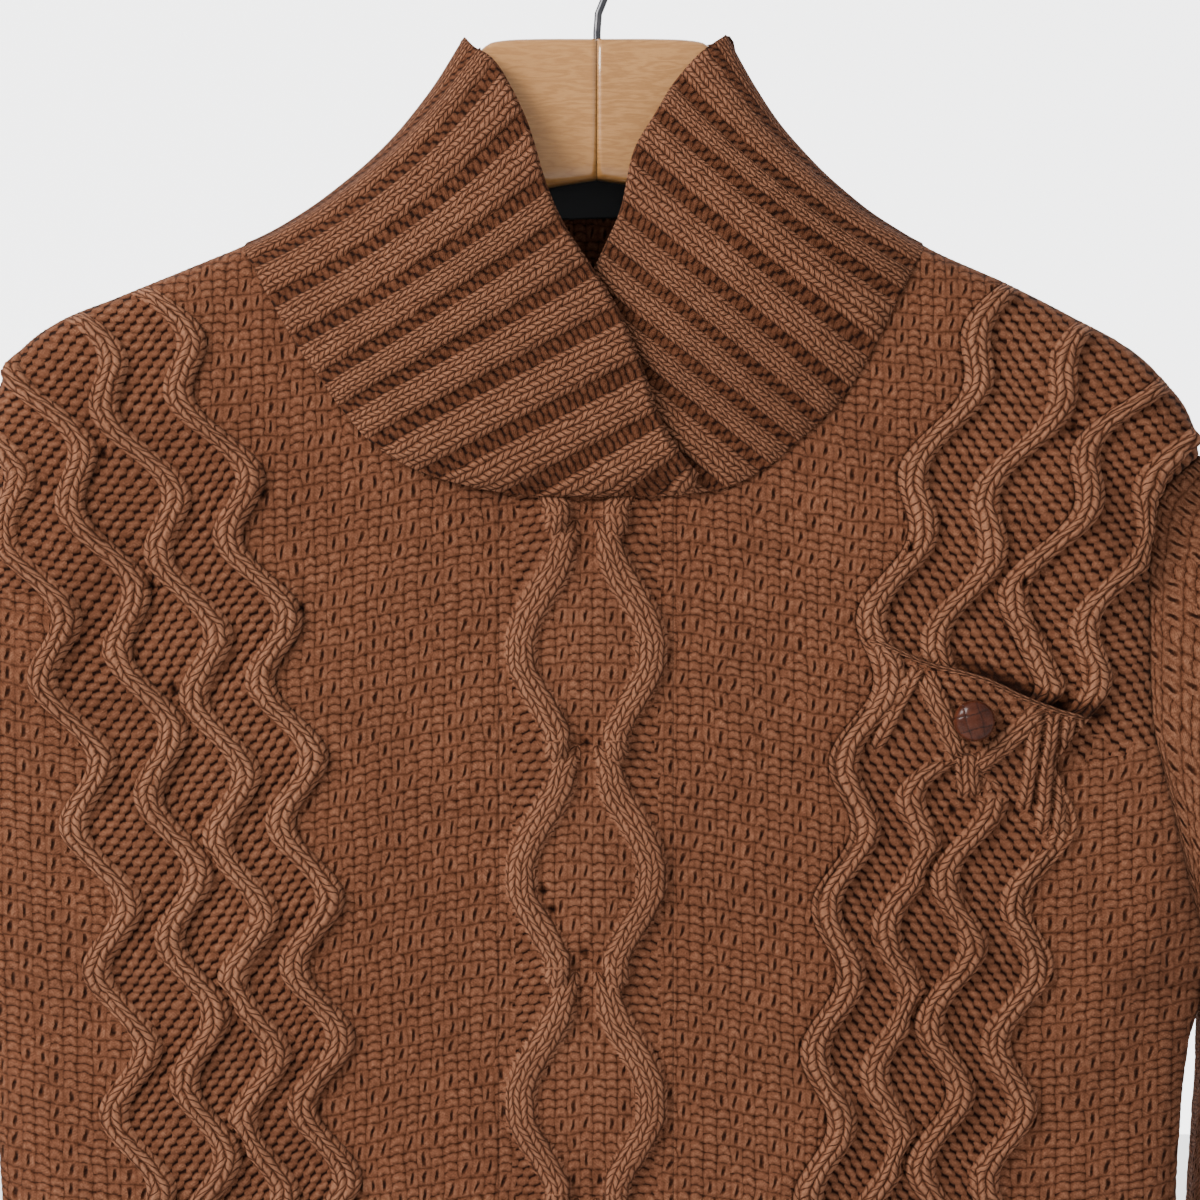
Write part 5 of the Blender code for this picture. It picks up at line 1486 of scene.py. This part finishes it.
def make_hanger_half(name, sign, material):
    """Smooth loft of rounded sections from the glue line to the arm's end."""
    count = 56
    turn = np.linspace(0, 2 * np.pi, count + 1)
    across = np.sign(np.cos(turn)) * np.abs(np.cos(turn)) ** 0.5
    up = np.sign(np.sin(turn)) * np.abs(np.sin(turn)) ** 0.5
    run = np.concatenate([[0.0], np.cumsum(np.hypot(np.diff(ARM[:, 0]), np.diff(ARM[:, 1])))])
    at = np.linspace(0, run[-1], 120)
    table = [smooth(run, ARM[:, i], at) for i in range(4)]
    rings = []
    for i, (x, top, bottom, half) in enumerate(zip(*table)):
        left = run[-1] - at[i]
        shrink = np.sqrt(np.clip(1 - (1 - min(left / 6.0, 1)) ** 2, 0.02, 1))
        middle, tall = (top + bottom) / 2, (top - bottom) / 2 * shrink
        here = max(x, 0.12)
        sweep = contour(np.full(count + 1, here), np.full(count + 1, -200.0))
        y = half * shrink * across + sweep
        rings.append(np.stack([np.full(count + 1, sign * here), y, middle + tall * up], axis=1))
    grid = np.array(rings)
    ids = np.arange(grid.shape[0] * (count + 1)).reshape(grid.shape[:2])
    ids[:, -1] = ids[:, 0]
    faces = [cells_of(ids)[0]]
    points = grid.reshape(-1, 3)
    for row in (0, -1):
        centre = len(points)
        points = np.concatenate([points, grid[row, :-1].mean(axis=0)[None, :]])
        ring = ids[row]
        faces.append(np.stack([ring[:-1], ring[1:], np.full(count, centre)], axis=1))
    flat = np.concatenate([np.zeros(len(faces[0]), bool), np.ones(2 * count, bool)])
    faces = np.concatenate(faces)
    uv = points[faces][..., [0, 2]] / 100
    weave = np.zeros(len(faces), int)
    tone = np.zeros((len(points), 3))
    return make_mesh(name, points, faces, uv, weave, tone, material, flat)


def make_hook():
    """Bent wire, its shank starting inside the wood."""
    centre_z = WIRE_RADIUS - HOOK_RADIUS
    points = list(SHANK)
    for i in range(60):
        angle = HOOK_ARC[0] + (HOOK_ARC[1] - HOOK_ARC[0]) * i / 59
        points.append((HOOK_RADIUS * math.cos(angle), centre_z + HOOK_RADIUS * math.sin(angle)))
    curve = bpy.data.curves.new("hook_wire", "CURVE")
    curve.dimensions = "3D"
    curve.bevel_depth = WIRE_RADIUS * MM
    curve.bevel_resolution = 6
    curve.use_fill_caps = True
    line = curve.splines.new("POLY")
    line.points.add(len(points) - 1)
    for i, (x, z) in enumerate(points):
        line.points[i].co = (x * MM, 0, z * MM, 1)
    curve.materials.append(STEEL)
    hook = bpy.data.objects.new("hook_wire", curve)
    bpy.context.scene.collection.objects.link(hook)
    return hook


# --------------------------------------------------------------- materials


class Nodes:
    """Short names for the maths of one node tree."""

    def __init__(self, name):
        self.material = bpy.data.materials.new(name)
        self.material.use_nodes = True
        self.tree = self.material.node_tree
        self.shader = self.tree.nodes["Principled BSDF"]

    def add(self, kind, **values):
        node = self.tree.nodes.new(kind)
        for key, value in values.items():
            setattr(node, key, value)
        return node

    def put(self, socket, value):
        if isinstance(value, (int, float, tuple)):
            socket.default_value = value
        else:
            self.tree.links.new(value, socket)

    def math(self, operation, a, b=0.0, c=0.0):
        node = self.add("ShaderNodeMath", operation=operation)
        for socket, value in zip(node.inputs, (a, b, c)):
            self.put(socket, value)
        return node.outputs[0]

    def plus(self, a, b):
        return self.math("ADD", a, b)

    def times(self, a, b):
        return self.math("MULTIPLY", a, b)

    def scaled(self, a, factor, offset):
        return self.math("MULTIPLY_ADD", a, factor, offset)

    def wave(self, a):
        """0 to 1, once for each whole number."""
        return self.scaled(self.math("COSINE", self.times(a, 2 * math.pi)), 0.5, 0.5)

    def noise(self, where, scale, detail=2.0, rough=0.5):
        node = self.add("ShaderNodeTexNoise")
        self.put(node.inputs["Vector"], where)
        node.inputs["Scale"].default_value = scale
        node.inputs["Detail"].default_value = detail
        node.inputs["Roughness"].default_value = rough
        return node.outputs["Fac"]

    def mix(self, share, a, b):
        node = self.add("ShaderNodeMix", data_type="RGBA")
        self.put(node.inputs[0], share)
        self.put(node.inputs[6], (*a, 1) if isinstance(a, tuple) else a)
        self.put(node.inputs[7], (*b, 1) if isinstance(b, tuple) else b)
        return node.outputs[2]

    def blend(self, share, a, b):
        node = self.add("ShaderNodeMix", data_type="FLOAT")
        self.put(node.inputs[0], share)
        self.put(node.inputs[2], a)
        self.put(node.inputs[3], b)
        return node.outputs[0]

    def range(self, a, low, high, to_low=0.0, to_high=1.0):
        node = self.add("ShaderNodeMapRange")
        for socket, value in zip(node.inputs, (a, low, high, to_low, to_high)):
            self.put(socket, value)
        return node.outputs[0]

    def bump(self, height, distance, strength=1.0):
        node = self.add("ShaderNodeBump")
        node.inputs["Distance"].default_value = distance
        node.inputs["Strength"].default_value = strength
        self.put(node.inputs["Height"], height)
        return node.outputs[0]

    def set(self, **values):
        for key, value in values.items():
            self.put(self.shader.inputs[key.replace("_", " ")], value)


def make_wool():
    n = Nodes("wool")
    place = n.add("ShaderNodeTexCoord").outputs["Object"]
    stitch = n.add("ShaderNodeUVMap", uv_map="Stitch").outputs[0]
    split = n.add("ShaderNodeSeparateXYZ")
    n.put(split.inputs[0], stitch)
    jitter_a = n.scaled(n.noise(place, 150.0, 3.0), 0.60, -0.30)
    jitter_b = n.scaled(n.noise(place, 120.0, 3.0), 0.80, -0.40)
    u = n.plus(split.outputs[0], jitter_a)
    v = n.plus(split.outputs[1], jitter_b)
    weave = n.add("ShaderNodeSeparateColor")
    n.put(weave.inputs[0], n.add("ShaderNodeAttribute", attribute_name="Weave").outputs["Color"])
    is_knit, is_purl, is_moss = weave.outputs
    tone = n.add("ShaderNodeSeparateColor")
    n.put(tone.inputs[0], n.add("ShaderNodeAttribute", attribute_name="Tone").outputs["Color"])
    # Tone channels: first, raised parts painted lighter, partly wear and partly painted light;
    # second, stitch height; third, painted shade in holes, hollows and under the pocket's mouth
    worn, raised, painted_shade = tone.outputs

    apart = n.math("ABSOLUTE", n.plus(n.math("FRACT", u), -0.5))
    leg = n.math("POWER", n.math("SINE", n.times(apart, 2 * math.pi)), 0.42)
    along = n.scaled(n.math("FRACT", n.plus(v, n.times(apart, 2.0))), 2.0, -1.0)
    ends = n.math("POWER", n.times(along, along), 2.6)
    knit_height = n.times(leg, n.scaled(ends, -0.72, 1.0))
    row = n.math("FLOOR", v)
    share = n.math("FRACT", v)
    place_x = n.add("ShaderNodeSeparateXYZ")
    n.put(place_x.inputs[0], place)
    lean = n.range(place_x.outputs[0], -0.07, 0.07, PURL_LEAN, -PURL_LEAN)
    domes = []
    for j in (0, 1):
        across = n.plus(n.math("FRACT", n.plus(u, n.times(n.plus(row, float(j)), 0.5))), -0.5)
        down = n.plus(n.plus(share, -float(j)), n.times(lean, across))
        wide = n.times(n.times(across, across), 1 / PURL_WIDE**2)
        tall = n.times(n.times(down, down), 1 / PURL_TALL**2)
        domes.append(n.math("SUBTRACT", 1.0, n.plus(wide, tall)))
    purl_height = n.math("POWER", n.math("MAXIMUM", n.math("MAXIMUM", *domes), 0.0), PURL_ROUND)
    block = n.scaled(n.math("FRACT", n.times(v, 0.5)), 2.0, -1.0)
    block_end = n.math("POWER", n.times(block, block), 3.0)
    leaning = n.plus(n.math("FRACT", n.plus(u, n.times(block, SLIT_LEAN))), -0.5)
    slit = n.math("MAXIMUM", n.scaled(n.times(leaning, leaning), -1 / SLIT_HALF**2, 1.0), 0.0)
    reach = n.math("MAXIMUM", n.scaled(n.times(block, block), -1 / SLIT_REACH**2, 1.0), 0.0)
    upright = n.scaled(n.times(slit, reach), -0.90, 1.0)
    upright = n.plus(upright, n.scaled(n.math("POWER", n.times(apart, 2.0), 4.0), -0.20, 0.0))
    upright = n.plus(upright, n.times(block_end, -0.40))
    hump = n.times(n.math("COSINE", n.times(apart, 2 * math.pi)), 0.15)
    off_bump = n.times(n.plus(n.plus(share, -0.55), hump), 1 / 0.54)
    bump_round = n.math("MAXIMUM", n.math("SUBTRACT", 1.0, n.times(off_bump, off_bump)), 0.0)
    bump_end = n.math("POWER", n.times(apart, 2.0), 6.0)
    bump_top = n.scaled(n.math("POWER", bump_round, 0.5), 0.65, 0.35)
    bump_height = n.times(bump_top, n.scaled(bump_end, -0.4, 1.0))
    half_row = n.math("FLOOR", n.times(v, 0.5))
    column = n.math("FLOOR", u)
    spread = n.plus(n.times(column, SCATTER_COLUMN), n.times(half_row, SCATTER_PAIR))
    spread = n.math("FRACT", spread)
    swapped = n.math("LESS_THAN", spread, MOSS_SWAP)
    moss_parity = n.math("MODULO", n.plus(n.plus(column, half_row), swapped), 2.0)
    band_parity = n.math("MODULO", n.plus(half_row, n.math("LESS_THAN", spread, BAND_SWAP)), 2.0)
    moss_height = n.blend(moss_parity, upright, bump_height)
    band_height = n.blend(band_parity, upright, bump_height)
    is_band = n.math("SUBTRACT", 1.0, n.plus(is_knit, n.plus(is_purl, is_moss)))
    height = n.plus(n.times(knit_height, is_knit), n.times(purl_height, is_purl))
    height = n.plus(height, n.times(moss_height, is_moss))
    height = n.plus(height, n.times(band_height, is_band))

    side_on = n.blend(n.math("GREATER_THAN", n.plus(n.math("FRACT", u), -0.5), 0.0), -1.0, 1.0)
    ply = n.wave(n.plus(n.times(v, 3.0), n.times(n.times(u, side_on), 4.0)))
    fuzz = n.noise(place, 1500.0, 3.0, 0.7)
    tufts = n.noise(place, 420.0, 3.0, 0.6)
    broad = n.noise(place, 9.0, 2.0, 0.5)
    patch = n.noise(place, 45.0, 2.0, 0.5)

    shape = n.plus(n.times(height, 0.9), n.times(ply, 0.10))
    shape = n.plus(shape, n.times(fuzz, 0.45))
    shape = n.plus(shape, n.times(tufts, 0.50))
    normal = n.bump(shape, 0.0016, 1.0)

    # The ramp below runs from stitch height: painted shade in the crevices between stitches,
    # painted light on their crests. Fuzz, tufts and ply add the yarn's own uneven tone.
    lit = n.plus(n.times(height, 0.80), n.times(worn, 0.17))
    lit = n.plus(lit, n.times(is_purl, -0.06))
    lit = n.plus(lit, n.times(n.plus(is_moss, is_band), -0.07))
    lit = n.plus(lit, n.times(n.plus(tufts, -0.5), 0.60))
    lit = n.plus(lit, n.times(n.plus(fuzz, -0.5), 0.55))
    lit = n.plus(lit, n.times(n.plus(ply, -0.5), 0.06))
    # Painted shade from the tone's third channel
    lit = n.plus(lit, n.times(painted_shade, -1.0))
    ramp = n.add("ShaderNodeValToRGB")
    n.put(ramp.inputs[0], lit)
    stops = ramp.color_ramp
    stops.elements[0].position = 0.02
    stops.elements[0].color = (0.0095, 0.0022, 0.0008, 1)
    stops.elements[1].position = 0.95
    stops.elements[1].color = (0.196, 0.085, 0.0460, 1)
    for position, colour in ((0.35, (0.0440, 0.0136, 0.0054)), (0.65, (0.0990, 0.0362, 0.0174))):
        stop = stops.elements.new(position)
        stop.color = (*colour, 1)
    warm = n.mix(n.range(broad, 0.3, 0.7), (0.92, 0.90, 0.90), (1.08, 1.10, 1.12))
    patch_tone = n.mix(n.range(patch, 0.3, 0.7), (0.93, 0.93, 0.93), (1.06, 1.06, 1.06))
    colour = n.add("ShaderNodeMix", data_type="RGBA", blend_type="MULTIPLY")
    colour.inputs[0].default_value = 1.0
    n.put(colour.inputs[6], ramp.outputs[0])
    n.put(colour.inputs[7], warm)
    second = n.add("ShaderNodeMix", data_type="RGBA", blend_type="MULTIPLY")
    second.inputs[0].default_value = 1.0
    n.put(second.inputs[6], colour.outputs[2])
    n.put(second.inputs[7], patch_tone)
    n.set(Base_Color=second.outputs[2], Roughness=n.range(fuzz, 0.2, 0.8, 0.88, 0.98))
    n.put(n.shader.inputs["Normal"], normal)
    n.shader.inputs["Specular IOR Level"].default_value = 0.06
    n.shader.inputs["Sheen Weight"].default_value = 0.03
    n.shader.inputs["Sheen Roughness"].default_value = 0.5
    n.shader.inputs["Sheen Tint"].default_value = (0.80, 0.52, 0.36, 1)
    return n.material


def make_maple(name, turn, painted_shade_scale):
    """Varnished maple: long uneven grain, pores, and a slow figure across it; the last argument
    scales its whole colour down as painted shade.
    """
    n = Nodes(name)
    place = n.add("ShaderNodeTexCoord").outputs["Object"]
    mapping = n.add("ShaderNodeMapping")
    n.put(mapping.inputs["Vector"], place)
    mapping.inputs["Rotation"].default_value = (0, turn, 0)
    mapping.inputs["Scale"].default_value = (10.0, 60.0, 60.0)
    stretched = mapping.outputs[0]
    rings = n.noise(stretched, 2.2, 4.0, 0.55)
    lines = n.wave(n.times(rings, 9.0))
    fine = n.noise(stretched, 22.0, 4.0, 0.7)
    figure = n.noise(place, 26.0, 2.0, 0.4)
    share = n.plus(n.times(lines, 0.42), n.times(fine, 0.48))
    # All colours scaled by the last argument: below 1 the half is painted darker, as painted shade
    pale = (0.325 * painted_shade_scale, 0.158 * painted_shade_scale, 0.052 * painted_shade_scale)
    deep = (0.235 * painted_shade_scale, 0.104 * painted_shade_scale, 0.030 * painted_shade_scale)
    colour = n.mix(n.range(share, 0.15, 0.75), pale, deep)
    middle = (0.275 * painted_shade_scale, 0.126 * painted_shade_scale, 0.040 * painted_shade_scale)
    darker = n.mix(n.range(figure, 0.35, 0.7), colour, middle)
    node = n.add("ShaderNodeMix", data_type="RGBA")
    node.inputs[0].default_value = 0.45
    n.put(node.inputs[6], colour)
    n.put(node.inputs[7], darker)
    streaks = n.range(fine, 0.62, 0.75)
    final = n.mix(n.times(streaks, 0.35), node.outputs[2], (0.16, 0.07, 0.024))
    n.set(Base_Color=final, Roughness=n.range(fine, 0.3, 0.7, 0.24, 0.36))
    n.put(n.shader.inputs["Normal"], n.bump(n.plus(fine, n.times(figure, 0.6)), 0.00012, 0.6))
    n.shader.inputs["Specular IOR Level"].default_value = 0.2
    n.shader.inputs["Coat Weight"].default_value = 0.5
    n.shader.inputs["Coat Roughness"].default_value = 0.10
    return n.material


def make_steel():
    n = Nodes("dark_steel")
    place = n.add("ShaderNodeTexCoord").outputs["Object"]
    smear = n.noise(place, 320.0, 3.0, 0.6)
    worn = n.noise(place, 60.0, 3.0, 0.6)
    n.set(
        Base_Color=n.mix(n.range(worn, 0.45, 0.7), (0.055, 0.055, 0.060), (0.105, 0.10, 0.10)),
        Roughness=n.range(smear, 0.3, 0.7, 0.24, 0.44),
    )
    n.shader.inputs["Metallic"].default_value = 1.0
    n.put(n.shader.inputs["Normal"], n.bump(smear, 0.00005, 0.5))
    return n.material


def make_leather():
    n = Nodes("plaited_leather")
    place = n.add("ShaderNodeTexCoord").outputs["Object"]
    tone = n.add("ShaderNodeAttribute", attribute_name="Tone").outputs["Fac"]
    grain = n.noise(place, 2600.0, 3.0, 0.6)
    patch = n.noise(place, 240.0, 2.0, 0.5)
    colour = n.mix(n.range(patch, 0.3, 0.7), (0.026, 0.0066, 0.0032), (0.055, 0.0150, 0.0072))
    # Painted shade in the grooves between the strips and under the button
    colour = n.mix(n.range(tone, 0.12, 0.50), colour, (0.004, 0.002, 0.0015))
    n.set(Base_Color=colour, Roughness=n.range(grain, 0.3, 0.7, 0.22, 0.30))
    n.put(n.shader.inputs["Normal"], n.bump(grain, 0.00003, 0.5))
    n.shader.inputs["Specular IOR Level"].default_value = 0.12
    return n.material


def make_label_cloth():
    n = Nodes("label_cloth")
    place = n.add("ShaderNodeTexCoord").outputs["Object"]
    split = n.add("ShaderNodeSeparateXYZ")
    n.put(split.inputs[0], place)
    warp = n.wave(n.times(split.outputs[0], 1900.0))
    weft = n.wave(n.times(split.outputs[2], 1500.0))
    woven = n.times(warp, weft)
    colour = n.mix(woven, (0.004, 0.004, 0.005), (0.016, 0.016, 0.018))
    n.set(Base_Color=colour, Roughness=n.range(woven, 0, 1, 0.55, 0.8))
    n.put(n.shader.inputs["Normal"], n.bump(woven, 0.00015, 0.7))
    return n.material


def make_plain(name, colour, rough, glow):
    n = Nodes(name)
    place = n.add("ShaderNodeTexCoord").outputs["Object"]
    grain = n.noise(place, 30.0, 3.0, 0.5)
    low = tuple(0.985 * c for c in colour)
    n.set(Base_Color=n.mix(grain, low, colour), Roughness=rough)
    n.shader.inputs["Emission Color"].default_value = (*colour, 1)
    n.shader.inputs["Emission Strength"].default_value = glow
    return n.material


# ------------------------------------------------------------------- scene

WOOL = make_wool()
LEATHER = make_leather()
STEEL = make_steel()
LABEL = make_label_cloth()

front_panel, fronts = make_front()
back = make_back()
hems = [make_hem("hem_front_rib", -1), make_hem("hem_back_rib", 1)]
sleeves = [make_sleeve("sleeve_left_knit", True), make_sleeve("sleeve_right_knit", False)]
cuffs = [make_cuff("cuff_left_rib", True), make_cuff("cuff_right_rib", False)]
collars = make_collar()
pocket = make_pocket(front_panel)
button = make_button()
label = make_label()
halves = [
    # The left half is painted a little darker, as painted shade
    make_hanger_half("hanger_left_wood", 1, make_maple("maple_left", 0.62, 0.93)),
    make_hanger_half("hanger_right_wood", -1, make_maple("maple_right", -0.62, 1.0)),
]
hook = make_hook()

stands_for = [
    (fronts, "front", "knit"), ([back], "back", "knit"), (hems[:1], "hem_front", "knit"),
    (hems[1:], "hem_back", "knit"), (sleeves[:1], "sleeve_left", "knit"),
    (sleeves[1:], "sleeve_right", "knit"), (cuffs[:1], "cuff_left", "knit"),
    (cuffs[1:], "cuff_right", "knit"), (collars, "collar", "knit"), ([pocket], "pocket", "knit"),
    ([button], "pocket_button", "leather"), ([label], "neck_label", "label"),
    (halves[:1], "hanger_left", "maple"), (halves[1:], "hanger_right", "maple"),
    ([hook], "hook", "steel"),
]
for made, node, finish in stands_for:
    for piece in made:
        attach(piece, "root")
        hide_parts(node)


def plane(name, corners, colour, rough, glow=0.0):
    mesh = bpy.data.meshes.new(name)
    mesh.from_pydata(corners, [], [(0, 1, 2, 3)])
    mesh.materials.append(make_plain(name, colour, rough, glow))
    thing = bpy.data.objects.new(name, mesh)
    bpy.context.scene.collection.objects.link(thing)


WALL_Y = 3.4
FLOOR_Z = -1.05
HALF_ROOM = 6.0
WALL_TOP = 4.0
plane("backdrop", [
    (-HALF_ROOM, WALL_Y, FLOOR_Z), (HALF_ROOM, WALL_Y, FLOOR_Z),
    (HALF_ROOM, WALL_Y, WALL_TOP), (-HALF_ROOM, WALL_Y, WALL_TOP),
], (0.93, 0.932, 0.94), 0.9, 2.9)
plane("floor", [
    (-HALF_ROOM, -HALF_ROOM, FLOOR_Z), (HALF_ROOM, -HALF_ROOM, FLOOR_Z),
    (HALF_ROOM, WALL_Y, FLOOR_Z), (-HALF_ROOM, WALL_Y, FLOOR_Z),
], (0.80, 0.80, 0.80), 0.8)


def area_light(name, place, aim, size, power, colour):
    data = bpy.data.lights.new(name, "AREA")
    data.shape = "RECTANGLE"
    data.size, data.size_y = size
    data.energy = power
    data.color = colour
    thing = bpy.data.objects.new(name, data)
    thing.location = place
    direction = np.array(aim) - np.array(place)
    yaw = math.atan2(direction[0], direction[1])
    pitch = math.atan2(direction[2], math.hypot(direction[0], direction[1]))
    thing.rotation_euler = (math.pi / 2 + pitch, 0, -yaw)
    bpy.context.scene.collection.objects.link(thing)


area_light("key", (-1.9, -1.5, 1.0), (0.0, 0.0, -0.35), (1.1, 1.1), 178.0, (1.0, 0.985, 0.965))
area_light("fill", (1.6, -1.9, 0.2), (0.0, 0.0, -0.35), (1.8, 1.8), 8.0, (0.97, 0.985, 1.0))

world = bpy.data.worlds.new("studio")
bpy.context.scene.world = world
world.use_nodes = True
world.node_tree.nodes["Background"].inputs[0].default_value = (0.95, 0.97, 1.0, 1)
world.node_tree.nodes["Background"].inputs[1].default_value = 1.12

# The photo's frame: half its width on the front of the sweater, and its middle
PHOTO_HALF = 0.252
PHOTO_X, PHOTO_Z = 0.0013, -0.3044
CAMERA_DISTANCE = 1.5
FRONT_DISTANCE = 1.475
camera_data = bpy.data.cameras.new("camera")
camera_data.angle = 2 * math.atan(PHOTO_HALF / FRONT_DISTANCE)
camera_data.clip_start = 0.01
camera = bpy.data.objects.new("camera", camera_data)
camera.location = (PHOTO_X, -CAMERA_DISTANCE, PHOTO_Z)
camera.rotation_euler = (math.pi / 2, 0, 0)
bpy.context.scene.collection.objects.link(camera)
bpy.context.scene.camera = camera
